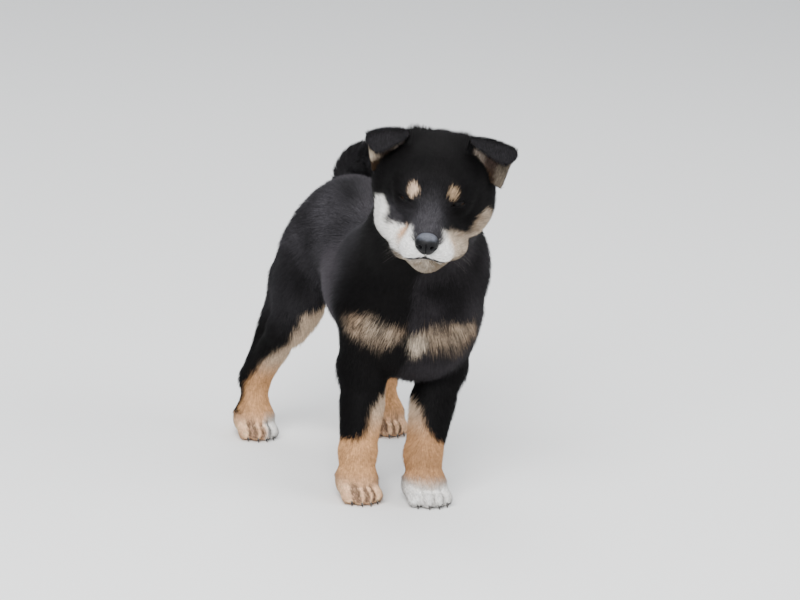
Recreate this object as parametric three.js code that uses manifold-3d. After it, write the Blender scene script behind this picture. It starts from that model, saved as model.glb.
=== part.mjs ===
// A black and tan shiba inu puppy, about eight weeks old, standing with its head turned and tilted.
// Millimetres, +Z up. The puppy looks along -Y, its left side is +X, and its paws stand on z = 0.
import * as THREE from 'three';
import { mergeVertices } from 'three/addons/utils/BufferGeometryUtils.js';
import Module from 'manifold-3d';

const wasm = await Module();
wasm.setup();

// Driving dimensions.
const croupHeight = 219; // top of the coat over the hips
const withersHeight = 208; // top of the coat over the shoulders
const chestHalfWidth = 52;
const rumpHalfWidth = 50;
const gap = 0.3; // between touching nodes
const headStep = 5.8; // facet size of each zone
const bodyStep = 13;
const legStep = 9.5;
const pawStep = 5.3;
const tailStep = 8;

// Where each paw's toes end on the ground.
const stance = {
  right: { fore: [-39, -7], hind: [-61, 168] },
  left: { fore: [10, -22], hind: [48, 164] },
};
const kneeX = { right: -50, left: 30 };
const hockX = { right: -60.5, left: 45.5 };
const pawHalfWidth = 17.5;
const spread = { right: { fore: 0.86, hind: 0.88 }, left: { fore: 1, hind: 0.88 } }; // of the toes

// The head's own frame: its centre is inside the skull, and it looks along its own -Y.
const headCentre = [-6.6, -19.6, 248];
const headTurn = { yaw: -25, pitch: 7.5, roll: 1.5 }; // to its right, nose down, left ear down
const noseSpot = [0, -75, -16];
const eyeSpot = [17.4, -34.8, 4.4];
const eyeRadius = 7.8;
const lidThickness = 1.3;
const eyeOpening = { halfWidth: 5.6, upper: 2.4, lower: 2.2, slant: 14, outward: 14 }; // an almond

const vector = (p) => new THREE.Vector3(...p);
const mix = (a, b, t) => a.map((v, i) => v + t * (b[i] - v));
const sides = { right: -1, left: 1 };
const mirrored = ([x, y, z], s) => [s * x, y, z];

// Distance fields: each takes x, y, z and is negative inside.
const ball = ([cx, cy, cz], r) => (x, y, z) => Math.hypot(x - cx, y - cy, z - cz) - r;

const egg = ([cx, cy, cz], [rx, ry, rz]) => (x, y, z) => {
  const [dx, dy, dz] = [x - cx, y - cy, z - cz];
  const near = Math.hypot(dx / rx, dy / ry, dz / rz);
  const slope = Math.hypot(dx / (rx * rx), dy / (ry * ry), dz / (rz * rz));
  return slope < 1e-9 ? -Math.min(rx, ry, rz) : (near * (near - 1)) / slope;
};

// A round cone: a ball of radius ra at a, one of radius rb at b, and the cone between them.
function limb(a, ra, b, rb) {
  const [bx, by, bz] = [b[0] - a[0], b[1] - a[1], b[2] - a[2]];
  const long2 = bx * bx + by * by + bz * bz;
  const drop = ra - rb;
  const side2 = long2 - drop * drop;
  return (x, y, z) => {
    const [px, py, pz] = [x - a[0], y - a[1], z - a[2]];
    const along = px * bx + py * by + pz * bz;
    const past = along - long2;
    const off2 =
      (px * long2 - bx * along) ** 2 + (py * long2 - by * along) ** 2 + (pz * long2 - bz * along) ** 2;
    const lean = Math.sign(drop) * drop * drop * off2;
    if (Math.sign(past) * side2 * past * past * long2 > lean)
      return Math.sqrt(off2 + past * past * long2) / long2 - rb;
    if (Math.sign(along) * side2 * along * along * long2 < lean)
      return Math.sqrt(off2 + along * along * long2) / long2 - ra;
    return (Math.sqrt((off2 * side2) / long2) + along * drop) / long2 - ra;
  };
}

const soften = (a, b, k) => {
  const h = Math.max(k - Math.abs(a - b), 0) / k;
  return Math.min(a, b) - (h * h * k) / 4;
};
const merge = (k, ...fields) => (x, y, z) => fields.reduce((d, f) => soften(d, f(x, y, z), k), 1e3);
const hollow = (k, solid, cut) => (x, y, z) => -soften(-solid(x, y, z), cut(x, y, z), k);

// A field written in its own frame, used in the body's.
function placed(matrix, field) {
  const m = matrix.clone().invert().elements;
  return (x, y, z) =>
    field(
      m[0] * x + m[4] * y + m[8] * z + m[12],
      m[1] * x + m[5] * y + m[9] * z + m[13],
      m[2] * x + m[6] * y + m[10] * z + m[14],
    );
}

// Trunk: rib cage, forechest, shoulders, loin, rump and neck. The spine bends a little to its right.
function trunkField() {
  const ribs = egg([-3, 62, 152], [chestHalfWidth, 70, 50]);
  const forechest = egg([5, 24, 138], [48, 38, 50]);
  const withers = egg([2, 58, withersHeight - 34], [37, 44, 34]);
  const loin = egg([-2, 120, 166], [43, 54, 41]);
  const rump = egg([-5, 158, croupHeight - 54], [rumpHalfWidth, 41, 43]);
  const croup = egg([-6, 140, croupHeight - 41], [37, 50, 44]);
  const neck = limb([5, 40, 172], 50, [-3, 0, 222], 42.5);
  const shoulder = egg([20, 16, 178], [36, 34, 42]);
  return merge(16, ribs, forechest, withers, loin, rump, croup, neck, shoulder);
}

// The head in its own frame.
function headField() {
  const skull = egg([0, 3, 5], [41.5, 40, 38.5]);
  const temples = [egg([-32.5, 5, -1], [16, 22, 24]), egg([29, 6, -7], [16, 22, 21])];
  const cheeks = [egg([-25.5, -13, -19.5], [18.5, 27, 21]), egg([24, -8, -13], [18.5, 27, 20])];
  const forehead = egg([0, -18, 8], [34, 26, 25]);
  const bridge = limb([0, -30, -9], 20, [0, -61, -15], 13.5);
  const jaw = limb([0, -24, -29], 18, [0, -56, -32.2], 13);
  const paired = Object.values(sides).flatMap((s) => [
    egg([s * 17.5, -38, s * 1.5 - 29.5], [11.5, 17, 11]), // side of the jaw
    egg([s * 18, 6, 25.5 - s * 1.5], [13, 12, 15]), // between the ears
    egg([s * 8.5, -58, -25], [12, 15, 10.5]), // whisker pad
    egg([s * 16, -31, 13.5], [12, 10.5, 7]), // brow
  ]);
  const face = merge(10, skull, ...temples, ...cheeks, forehead, bridge, jaw, ...paired);
  const sockets = Object.values(sides).map((s) => ball([s * 20.5, -50, 0], 5));
  return hollow(9, face, merge(4, ...sockets));
}

const headMatrix = new THREE.Matrix4().compose(
  vector(headCentre),
  new THREE.Quaternion().setFromEuler(
    new THREE.Euler(
      THREE.MathUtils.degToRad(headTurn.pitch),
      THREE.MathUtils.degToRad(headTurn.roll),
      THREE.MathUtils.degToRad(headTurn.yaw),
      'ZXY',
    ),
  ),
  new THREE.Vector3(1, 1, 1),
);

// A paw: four toes fanned round a pad, with its toes ending at spot on the ground.
const toes = [-1.5, -0.5, 0.5, 1.5].map((across) => ({ across, back: Math.abs(across) < 1 ? 0 : 4 }));
const toeRadius = 6.8;

function pawField([px, py], tall, fan) {
  const pad = egg([px, py + 26, 11], [(pawHalfWidth - 1) * fan, 17, 13]);
  const top = egg([px, py + 24, tall], [14.5, 15, 14]);
  const digits = toes.map(({ across, back }) =>
    limb(
      [px + across * fan * 6, py + 23, 12],
      8.5,
      [px + across * fan * 7.6, py + toeRadius + back, 6],
      toeRadius,
    ),
  );
  return merge(3, pad, top, ...digits);
}

// Each leg as two fields: its upper part, which the trunk's own zone holds, and its lower part.
function foreleg(side) {
  const s = sides[side];
  const [px, py] = stance[side].fore;
  const shoulder = [s * 32 + 3, 36, 142];
  const elbow = [s * 30.5 + 1, 39, 100];
  const wrist = [px - s, py + 28, 36];
  const upper = limb(shoulder, 26, elbow, 22.5);
  const forearm = limb(elbow, 21, wrist, 14.4);
  const pastern = limb(wrist, 14.4, [px, py + 25, 18], 14.8);
  return {
    stub: merge(8, upper, limb(elbow, 21, mix(elbow, wrist, 0.4), 18.4)),
    whole: merge(6, merge(8, upper, forearm), pastern, pawField([px, py], 18, spread[side].fore)),
  };
}

function hindleg(side) {
  const s = sides[side];
  const [px, py] = stance[side].hind;
  const hip = [s * 26 - 4, 154, 152];
  const knee = [kneeX[side], 156, 100];
  const hock = [hockX[side], py + 27, 46];
  const thigh = merge(10, egg([s * 37 - 4, 163, 130], [22, 34, 42]), limb(hip, 28, knee, 16));
  const buttock = [s * 35 - 5, 179, 132];
  const gaskin = limb(buttock, 19, hock, 11);
  const shank = limb(knee, 16, hock, 11.5);
  const pastern = limb(hock, 11.5, [px, py + 24, 18], 13.2);
  return {
    stub: merge(
      8,
      thigh,
      limb(knee, 16, mix(knee, hock, 0.5), 13.8),
      limb(buttock, 19, mix(buttock, hock, 0.6), 14.2),
    ),
    whole: merge(8, thigh, gaskin, merge(5, shank, pastern), pawField([px, py], 16, spread[side].hind)),
  };
}

// The tail's core rises from the croup and curls forward over the back.
const tailLine = new THREE.CatmullRomCurve3(
  [
    [6, 172, croupHeight - 30],
    [9, 187, croupHeight - 14],
    [13, 184, croupHeight],
    [18, 164, croupHeight + 7],
    [25, 138, croupHeight + 3],
    [30, 116, croupHeight - 7],
  ].map(vector),
);
const tailCore = (t) => 11 - 3.5 * t * t; // core radius from root to tip

function tailField() {
  const lengths = 10;
  const parts = Array.from({ length: lengths }, (_, i) => {
    const [a, b] = [i / lengths, (i + 1) / lengths];
    return limb(tailLine.getPoint(a).toArray(), tailCore(a), tailLine.getPoint(b).toArray(), tailCore(b));
  });
  return merge(2, ...parts);
}

const trunk = trunkField();
const head = placed(headMatrix, headField());
const tail = tailField();
const legs = {};
for (const side of Object.keys(sides)) {
  legs[`fore_${side}`] = foreleg(side);
  legs[`hind_${side}`] = hindleg(side);
}

// The trunk with some of what grows from it. Each part blends with the trunk and not with the others.
const grownWith = (k, ...parts) => (x, y, z) => {
  const body = trunk(x, y, z);
  return Math.min(...parts.map((part) => soften(body, part(x, y, z), k)));
};
const swollen = (field, by) => (x, y, z) => field(x, y, z) - by;

// Surface nets: one vertex in each cell that the surface crosses, drawn onto the surface, and one
// quad round each crossed grid edge. The box's own faces close what they cut.
function netOf(field, low, high, step) {
  const count = low.map((v, i) => Math.ceil((high[i] - v) / step) + 1);
  const [nx, ny, nz] = count;
  const at = (i, j, k) => i + nx * (j + ny * k);
  const value = new Float64Array(nx * ny * nz);
  for (let k = 0; k < nz; k++)
    for (let j = 0; j < ny; j++)
      for (let i = 0; i < nx; i++) {
        const edge = i === 0 || j === 0 || k === 0 || i === nx - 1 || j === ny - 1 || k === nz - 1;
        const d = field(low[0] + i * step, low[1] + j * step, low[2] + k * step);
        value[at(i, j, k)] = edge ? Math.max(d, 0.05 * step) : d || 1e-6;
      }
  const points = [];
  const cellVertex = new Int32Array(nx * ny * nz).fill(-1);
  const corners = [0, 1, 2, 3, 4, 5, 6, 7].map((c) => [c & 1, (c >> 1) & 1, c >> 2]);
  const rims = [];
  for (let a = 0; a < 8; a++) for (const bit of [1, 2, 4]) if (!(a & bit)) rims.push([a, a | bit]);
  for (let k = 0; k < nz - 1; k++)
    for (let j = 0; j < ny - 1; j++)
      for (let i = 0; i < nx - 1; i++) {
        const v = corners.map(([a, b, c]) => value[at(i + a, j + b, k + c)]);
        const mean = [0, 0, 0];
        let crossed = 0;
        for (const [a, b] of rims) {
          if (v[a] < 0 === v[b] < 0) continue;
          const t = v[a] / (v[a] - v[b]);
          for (let n = 0; n < 3; n++) mean[n] += corners[a][n] + t * (corners[b][n] - corners[a][n]);
          crossed++;
        }
        if (!crossed) continue;
        cellVertex[at(i, j, k)] = points.length;
        const cell = [i, j, k];
        points.push(mean.map((m, n) => low[n] + (cell[n] + m / crossed) * step));
      }
  const faces = [];
  const dodge = [at(1, 0, 0), at(0, 1, 0), at(0, 0, 1)];
  for (let k = 0; k < nz - 1; k++)
    for (let j = 0; j < ny - 1; j++)
      for (let i = 0; i < nx - 1; i++)
        for (let axis = 0; axis < 3; axis++) {
          const cell = [i, j, k];
          if (!cell[(axis + 1) % 3] || !cell[(axis + 2) % 3]) continue;
          const here = at(i, j, k);
          const inside = value[here] < 0;
          if (inside === value[here + dodge[axis]] < 0) continue;
          const [u, w] = [dodge[(axis + 1) % 3], dodge[(axis + 2) % 3]];
          const quad = [here - u - w, here - w, here, here - u].map((c) => cellVertex[c]);
          if (!inside) quad.reverse();
          const [a, b, c, d] = quad;
          const span = (m, n) => Math.hypot(...points[m].map((v, q) => v - points[n][q]));
          if (span(a, c) <= span(b, d)) faces.push([a, b, c], [a, c, d]);
          else faces.push([a, b, d], [b, c, d]);
        }
  return { points, faces };
}

const solidFrom = (points, faces) =>
  new wasm.Manifold(
    new wasm.Mesh({
      numProp: 3,
      vertProperties: new Float32Array(points.flat()),
      triVerts: new Uint32Array(faces.flat()),
    }),
  );

const fieldSolid = (field, low, high, step) => {
  const { points, faces } = netOf(field, low, high, step);
  return solidFrom(points, faces);
};

// A three.js geometry as a solid, once its shared vertices are merged.
function solidOf(geometry, matrix = new THREE.Matrix4()) {
  const bare = geometry.clone().applyMatrix4(matrix);
  bare.deleteAttribute('normal');
  bare.deleteAttribute('uv');
  const merged = mergeVertices(bare, 1e-3);
  return new wasm.Manifold(
    new wasm.Mesh({
      numProp: 3,
      vertProperties: merged.attributes.position.array,
      triVerts: new Uint32Array(merged.index.array),
    }),
  );
}

function geometryOf(solid) {
  const mesh = solid.getMesh();
  return new THREE.BufferGeometry()
    .setAttribute('position', new THREE.BufferAttribute(new Float32Array(mesh.vertProperties), 3))
    .setIndex(new THREE.BufferAttribute(new Uint32Array(mesh.triVerts), 1));
}

// A thin round slab that parts two nodes: its centre, the direction it faces and its radius.
function parting(centre, facing, radius) {
  const turn = new THREE.Quaternion().setFromUnitVectors(
    new THREE.Vector3(0, 1, 0),
    vector(facing).normalize(),
  );
  const matrix = new THREE.Matrix4().compose(vector(centre), turn, new THREE.Vector3(1, 1, 1));
  return solidOf(new THREE.CylinderGeometry(radius, radius, gap, 24), matrix);
}

// The piece of a parted solid whose middle is nearest to a point.
function pieceNear(solid, point) {
  const far = (piece) => {
    const { min, max } = piece.boundingBox();
    return Math.hypot(...point.map((v, i) => v - (min[i] + max[i]) / 2));
  };
  return solid.decompose().reduce((best, piece) => (far(piece) < far(best) ? piece : best));
}

const coatBlack = new THREE.MeshStandardMaterial({ color: 0x17161a, roughness: 0.85 });
const coatTan = new THREE.MeshStandardMaterial({ color: 0xc79a6b, roughness: 0.85 });
const eyeDark = new THREE.MeshStandardMaterial({ color: 0x140d0a, roughness: 0.15 });
const noseBlack = new THREE.MeshStandardMaterial({ color: 0x121316, roughness: 0.45 });

const puppy = new THREE.Group();
function addNode(name, solid, material) {
  const mesh = new THREE.Mesh(geometryOf(solid), material);
  mesh.name = name;
  puppy.add(mesh);
}

// Cuts between nodes: centre, the way each faces, and radius.
const neckCut = [[-4, 4, 220], [0.3, -0.7, 0.62], 90];
const chestCut = [[0, 26, 180], [0, -0.75, 0.66], 90];
const loinCut = [[0, 108, 150], [0, 1, 0], 120];
const legCuts = {
  fore_right: [[-36, 38, 83], [-0.1, 0, -1], 38],
  fore_left: [[30, 36, 83], [0.1, 0, -1], 37],
  hind_right: [[-50, 165, 88], [-0.1, 0.2, -1], 50],
  hind_left: [[42, 165, 88], [0.1, 0.2, -1], 46],
};
const pawCutHeight = { fore: 31, hind: 27 };
const ground = solidOf(new THREE.BoxGeometry(400, 500, 40), new THREE.Matrix4().makeTranslation(0, 80, -20));

// A zone meshed at its own step and parted by its cuts.
function zone(field, low, high, step, parts) {
  return parts.reduce((solid, cut) => solid.subtract(parting(...cut)), fieldSolid(field, low, high, step));
}

// A closed tapered lock of coat: its root, the way it leaves, the way its tip turns, and its flat side.
function lock(root, leaves, turns, flat, { length, width, thick }) {
  const rings = [0, 0.4, 0.75];
  const spine = (t) =>
    root
      .clone()
      .addScaledVector(leaves, length * (t - 0.5 * t * t * 0.9))
      .addScaledVector(turns, length * 0.5 * t * t * 0.9);
  const points = rings.flatMap((t) => {
    const along = spine(t + 0.01).sub(spine(t)).normalize();
    const across = along.clone().cross(flat).normalize();
    const out = across.clone().cross(along).normalize();
    const wide = (width / 2) * (1 - t * t * 0.75);
    const high = (thick / 2) * (1 - t * 0.5);
    const centre = spine(t);
    return [[wide, 0], [0, high], [-wide, 0], [0, -high]].map(([w, h]) =>
      centre.clone().addScaledVector(across, w).addScaledVector(out, h).toArray(),
    );
  });
  const tip = points.push(spine(1).toArray()) - 1;
  const faces = [[0, 1, 2], [0, 2, 3]];
  for (let ring = 0; ring < rings.length - 1; ring++)
    for (let i = 0; i < 4; i++) {
      const [a, b] = [ring * 4 + i, ring * 4 + ((i + 1) % 4)];
      faces.push([a, a + 4, b], [b, a + 4, b + 4]);
    }
  const last = (rings.length - 1) * 4;
  for (let i = 0; i < 4; i++) faces.push([last + i, tip, last + ((i + 1) % 4)]);
  const made = solidFrom(points, faces);
  return made.volume() > 0 ? made : solidFrom(points, faces.map(([a, b, c]) => [a, c, b]));
}

const joined = (solids) => solids.reduce((all, one) => all.add(one));
const largest = (solid) =>
  solid.decompose().reduce((best, piece) => (piece.volume() > best.volume() ? piece : best));

// A repeatable draw between -1 and 1.
let seed = 7;
function draw() {
  seed = (seed * 16807) % 2147483647;
  return (seed / 2147483647) * 2 - 1;
}

// Trunk: neck, chest, and loin with rump.
const stubs = Object.values(legs).map((leg) => leg.stub);
const trunkZone = [grownWith(13, head, ...stubs), [-100, -80, 40], [100, 240, 300], bodyStep];
const trunkSolid = zone(...trunkZone, [neckCut, chestCut, loinCut, ...Object.values(legCuts)]);
addNode('neck', pieceNear(trunkSolid, [0, 10, 200]), coatBlack);
addNode('chest', pieceNear(trunkSolid, [0, 60, 140]), coatBlack);
addNode('rump', pieceNear(trunkSolid, [0, 160, 140]), coatBlack);

// Tail: a core along its line, with locks that lean towards the tip, cut clear of the back.
const tailLocks = { rows: 6, round: 5, length: 22, width: 17, thick: 5.5 };
function tailBrush() {
  const locks = [];
  const frames = tailLine.computeFrenetFrames(tailLocks.rows);
  for (let row = 0; row < tailLocks.rows; row++) {
    const t = (row + 0.5) / tailLocks.rows;
    const along = tailLine.getTangent(t);
    const normal = frames.normals[row];
    for (let i = 0; i < tailLocks.round; i++) {
      const angle = ((i + (row % 2) / 2 + draw() * 0.12) / tailLocks.round) * 2 * Math.PI;
      const out = normal.clone().applyAxisAngle(along, angle);
      out.addScaledVector(along, -out.dot(along)).normalize();
      const root = tailLine.getPoint(t).addScaledVector(out, tailCore(t) - 4);
      const leaves = out.clone().multiplyScalar(0.75).addScaledVector(along, 0.66);
      const turns = along.clone().multiplyScalar(0.95).addScaledVector(out, 0.3);
      const long = tailLocks.length * (1 - 0.15 * t + draw() * 0.12);
      locks.push(lock(root, leaves, turns, out, { ...tailLocks, length: long }));
    }
  }
  const tipward = tailLine.getTangent(1);
  const tuft = frames.normals[tailLocks.rows];
  for (let i = 0; i < 4; i++) {
    const out = tuft.clone().applyAxisAngle(tipward, (i / 4) * 2 * Math.PI);
    const root = tailLine.getPoint(0.97).addScaledVector(out, 2);
    const leaves = tipward.clone().addScaledVector(out, 0.35).normalize();
    locks.push(lock(root, leaves, tipward, out, tailLocks));
  }
  return joined(locks);
}
const trunkSwollen = fieldSolid(swollen(trunkZone[0], 0.6), ...trunkZone.slice(1));
const tailSolid = fieldSolid(tail, [-20, 90, 160], [60, 220, 260], tailStep).add(tailBrush());
addNode('tail', largest(tailSolid.subtract(trunkSwollen)), coatBlack);

// Legs: the forearm or shank down to the paw, and the paw with its claws.
function claws([px, py], fan) {
  const shape = new THREE.ConeGeometry(1.9, 8, 6);
  const turn = new THREE.Quaternion().setFromUnitVectors(
    new THREE.Vector3(0, 1, 0),
    new THREE.Vector3(0, -0.85, -0.5).normalize(),
  );
  return joined(
    toes.map(({ across, back }) => {
      const at = new THREE.Vector3(px + across * fan * 7.8, py + back - 0.5, 5);
      return solidOf(shape, new THREE.Matrix4().compose(at, turn, new THREE.Vector3(1, 1, 1)));
    }),
  );
}

for (const [name, leg] of Object.entries(legs)) {
  const [end, side] = name.split('_');
  const [px, py] = stance[side][end];
  const pawCut = [[px, py + 27, pawCutHeight[end]], [0, 0, 1], 40];
  const field = grownWith(13, leg.whole);
  const legBox = [[px - 45, py - 10, 12], [px + 45, py + 80, 125]];
  const upper = zone(field, ...legBox, legStep, [legCuts[name], pawCut]);
  const middle = [px, py + 25, (pawCutHeight[end] + 85) / 2];
  addNode(end === 'fore' ? `forearm_${side}` : `shank_${side}`, pieceNear(upper, middle), coatTan);
  const lower = zone(field, [px - 30, py - 8, -8], [px + 30, py + 56, 44], pawStep, [pawCut]);
  const clawed = pieceNear(lower, [px, py + 20, 12]).add(claws([px, py], spread[side][end]));
  const paw = clawed.subtract(ground);
  addNode(`${end}paw_${side}`, largest(paw), coatTan);
}

// Head: opened at the eyes and mouth, and cut to seat the nose.
const headZone = [grownWith(13, head), [-80, -115, 165], [70, 45, 305], headStep];
const [, noseY, noseZ] = noseSpot;
const nostrils = Object.values(sides).map((s) => {
  const hole = new THREE.SphereGeometry(1, 10, 6).scale(2.3, 4, 2.1).rotateY(s * -0.5);
  return solidOf(hole.translate(s * 4.8, noseY - 6.2, noseZ - 0.6), headMatrix);
});
const stem = egg([0, noseY + 1.6, noseZ - 4.4], [5.4, 4.6, 4.6]);
const nosePad = merge(2.5, egg(noseSpot, [9.1, 6.6, 7.3]), stem);
const noseField = placed(headMatrix, nosePad);
const noseStep = 2.5;
const noseBox = [[-60, -110, 195], [0, -70, 245]];
const noseSolid = fieldSolid(noseField, ...noseBox, noseStep);
const noseSeat = fieldSolid(swollen(noseField, gap + 0.1), ...noseBox, noseStep);

// The opening between the lids.
function almond(s) {
  const { halfWidth, upper, lower, slant, outward } = eyeOpening;
  const outline = new THREE.Shape();
  outline.moveTo(-halfWidth, 0);
  outline.quadraticCurveTo(0, upper * 2, halfWidth, 0);
  outline.quadraticCurveTo(0, -lower * 2, -halfWidth, 0);
  const slab = new THREE.ExtrudeGeometry(outline, { depth: 14, bevelEnabled: false, curveSegments: 6 });
  const matrix = new THREE.Matrix4()
    .makeTranslation(...mirrored(eyeSpot, s))
    .multiply(new THREE.Matrix4().makeRotationZ(THREE.MathUtils.degToRad(s * outward)))
    .multiply(new THREE.Matrix4().makeRotationX(Math.PI / 2))
    .multiply(new THREE.Matrix4().makeRotationZ(THREE.MathUtils.degToRad(s * slant)));
  return solidOf(slab, headMatrix.clone().multiply(matrix));
}

// The line of the mouth: a thin slab round the muzzle, from behind its corners to past the lips.
const mouth = {
  slit: 1.1,
  height: -31.7,
  corner: 42,
  past: 95,
  half: 32,
  jawHalf: 13,
  jawLong: 22,
  drop: -3,
};
function mouthLine() {
  const outline = new THREE.Shape();
  outline.moveTo(-mouth.half, mouth.corner);
  outline.lineTo(-mouth.half, mouth.past);
  outline.lineTo(mouth.half, mouth.past);
  outline.lineTo(mouth.half, mouth.corner);
  outline.lineTo(mouth.jawHalf, mouth.corner);
  outline.absellipse(0, mouth.corner, mouth.jawHalf, mouth.jawLong, 0, Math.PI, false);
  const depth = mouth.slit;
  const slab = new THREE.ExtrudeGeometry(outline, { depth, bevelEnabled: false, curveSegments: 10 });
  const matrix = new THREE.Matrix4()
    .makeTranslation(0, 0, mouth.height)
    .multiply(new THREE.Matrix4().makeRotationX(Math.PI + THREE.MathUtils.degToRad(mouth.drop)));
  return solidOf(slab, headMatrix.clone().multiply(matrix));
}

const eyeBalls = {};
for (const [side, s] of Object.entries(sides)) {
  const at = new THREE.Matrix4().makeTranslation(...mirrored(eyeSpot, s));
  eyeBalls[side] = headMatrix.clone().multiply(at);
}
let headSolid = pieceNear(zone(...headZone, [neckCut]), headCentre).subtract(noseSeat).subtract(mouthLine());
for (const [side, s] of Object.entries(sides)) {
  const sphere = (radius) => solidOf(new THREE.SphereGeometry(radius, 12, 8), eyeBalls[side]);
  headSolid = headSolid.add(sphere(eyeRadius + lidThickness)).subtract(sphere(eyeRadius + gap));
  headSolid = headSolid.subtract(almond(s));
  addNode(`eye_${side}`, sphere(eyeRadius), eyeDark);
}
addNode('head', largest(headSolid), coatBlack);
addNode('nose', largest(noseSolid.subtract(joined(nostrils))), noseBlack);

// Ears: a cupped sheet that stands on the skull and folds forward, its tip hanging outwards.
const ear = { thick: 3, foldRadius: 3.4, rootHalf: 15, cup: 7, rows: 12, columns: 6 };
const earShapes = {
  right: { root: [-31.5, 4, 14], standing: 26, foldHalf: 15, flap: 11, fold: 150, lean: -7 },
  left: { root: [31.5, 0, 12.5], standing: 28, foldHalf: 17, flap: 13, fold: 118, lean: -9 },
};

function earSheet(side) {
  const s = sides[side];
  const { root, standing, foldHalf, flap, fold, lean } = earShapes[side];
  const up = new THREE.Vector3(s * 0.24, -0.1, 0.96).normalize();
  const ahead = new THREE.Vector3(s * 0.15, -1, -0.05);
  ahead.addScaledVector(up, -ahead.dot(up)).normalize();
  const across = up.clone().cross(ahead).multiplyScalar(-s).normalize();
  const turned = THREE.MathUtils.degToRad(fold);
  const arc = ear.foldRadius * turned;
  const total = standing + arc + flap;
  const { rows, columns } = ear;
  const place = (row, column, face) => {
    const reach = (row / rows) * total;
    const bend = THREE.MathUtils.clamp((reach - standing) / arc, 0, 1) * turned;
    const past = Math.max(reach - standing - arc, 0);
    const along = up.clone().multiplyScalar(Math.cos(bend)).addScaledVector(ahead, Math.sin(bend));
    const facing = ahead.clone().multiplyScalar(Math.cos(bend)).addScaledVector(up, -Math.sin(bend));
    const tip = past / flap;
    const widening = Math.min(reach / (standing + arc), 1);
    const half = THREE.MathUtils.lerp(ear.rootHalf, foldHalf, widening) * (1 - 0.88 * tip ** 1.5);
    const v = (column / columns) * 2 - 1;
    const cup = ear.cup * (1 - reach / total) * v * v;
    const thick = ear.thick * (1 - 0.35 * v * v) * (1 - 0.3 * tip);
    const point = vector(root)
      .addScaledVector(up, Math.min(reach, standing) + ear.foldRadius * Math.sin(bend))
      .addScaledVector(ahead, ear.foldRadius * (1 - Math.cos(bend)))
      .addScaledVector(along, past)
      .addScaledVector(across, half * v + lean * tip)
      .addScaledVector(facing, cup + (face * thick) / 2);
    return point.applyMatrix4(headMatrix).toArray();
  };
  const points = [];
  const index = {};
  for (const face of [1, -1])
    for (let row = 0; row <= rows; row++)
      for (let column = 0; column <= columns; column++)
        index[[face, row, column]] = points.push(place(row, column, face)) - 1;
  const faces = [];
  const quad = (a, b, c, d) => faces.push([a, b, c], [a, c, d]);
  for (let row = 0; row < rows; row++)
    for (let column = 0; column < columns; column++) {
      const [a, b, c, d] = [[row, column], [row, column + 1], [row + 1, column + 1], [row + 1, column]];
      quad(...[a, b, c, d].map((at) => index[[1, ...at]]));
      const [p, q, r, t] = [a, b, c, d].map((at) => index[[-1, ...at]]);
      faces.push([p, r, q], [p, t, r]);
    }
  const rim = [];
  for (let column = 0; column < columns; column++) rim.push([0, column]);
  for (let row = 0; row < rows; row++) rim.push([row, columns]);
  for (let column = columns; column > 0; column--) rim.push([rows, column]);
  for (let row = rows; row > 0; row--) rim.push([row, 0]);
  rim.forEach((at, i) => {
    const next = rim[(i + 1) % rim.length];
    quad(index[[-1, ...at]], index[[-1, ...next]], index[[1, ...next]], index[[1, ...at]]);
  });
  const made = solidFrom(points, faces);
  return made.volume() > 0 ? made : solidFrom(points, faces.map(([a, b, c]) => [a, c, b]));
}

const headSwollen = fieldSolid(swollen(headZone[0], 0.5), ...headZone.slice(1));
for (const side of Object.keys(sides))
  addNode(`ear_${side}`, largest(earSheet(side).subtract(headSwollen)), coatBlack);

// The origin is on the ground under the middle of the whole puppy.
const extent = new THREE.Box3().setFromObject(puppy);
puppy.position.set(-(extent.min.x + extent.max.x) / 2, -(extent.min.y + extent.max.y) / 2, 0);

export default puppy;
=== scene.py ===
import math
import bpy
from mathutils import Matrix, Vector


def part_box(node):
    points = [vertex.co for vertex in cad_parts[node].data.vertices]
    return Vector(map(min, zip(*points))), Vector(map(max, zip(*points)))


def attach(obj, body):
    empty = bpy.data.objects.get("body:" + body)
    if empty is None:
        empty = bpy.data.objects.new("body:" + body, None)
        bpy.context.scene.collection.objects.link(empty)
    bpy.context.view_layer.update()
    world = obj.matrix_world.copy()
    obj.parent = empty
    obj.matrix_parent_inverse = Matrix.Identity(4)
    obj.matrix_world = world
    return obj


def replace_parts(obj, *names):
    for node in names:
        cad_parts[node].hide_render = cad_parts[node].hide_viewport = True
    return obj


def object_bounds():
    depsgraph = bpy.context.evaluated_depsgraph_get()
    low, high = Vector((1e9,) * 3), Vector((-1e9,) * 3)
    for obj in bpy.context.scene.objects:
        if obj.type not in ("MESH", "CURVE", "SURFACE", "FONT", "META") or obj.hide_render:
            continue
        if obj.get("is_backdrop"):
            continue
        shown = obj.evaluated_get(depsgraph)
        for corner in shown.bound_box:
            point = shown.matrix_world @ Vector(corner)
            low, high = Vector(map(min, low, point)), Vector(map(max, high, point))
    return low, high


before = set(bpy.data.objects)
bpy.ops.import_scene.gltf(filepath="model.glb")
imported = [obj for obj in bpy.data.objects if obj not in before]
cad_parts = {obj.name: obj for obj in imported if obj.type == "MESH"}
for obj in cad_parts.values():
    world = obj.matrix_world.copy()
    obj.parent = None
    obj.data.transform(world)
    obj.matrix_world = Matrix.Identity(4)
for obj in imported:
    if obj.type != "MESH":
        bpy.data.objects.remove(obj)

from types import SimpleNamespace
import bpy
import numpy as np
from mathutils import Matrix, Vector
from mathutils.bvhtree import BVHTree
from mathutils.kdtree import KDTree

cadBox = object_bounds()
random = np.random.default_rng(41)

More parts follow.
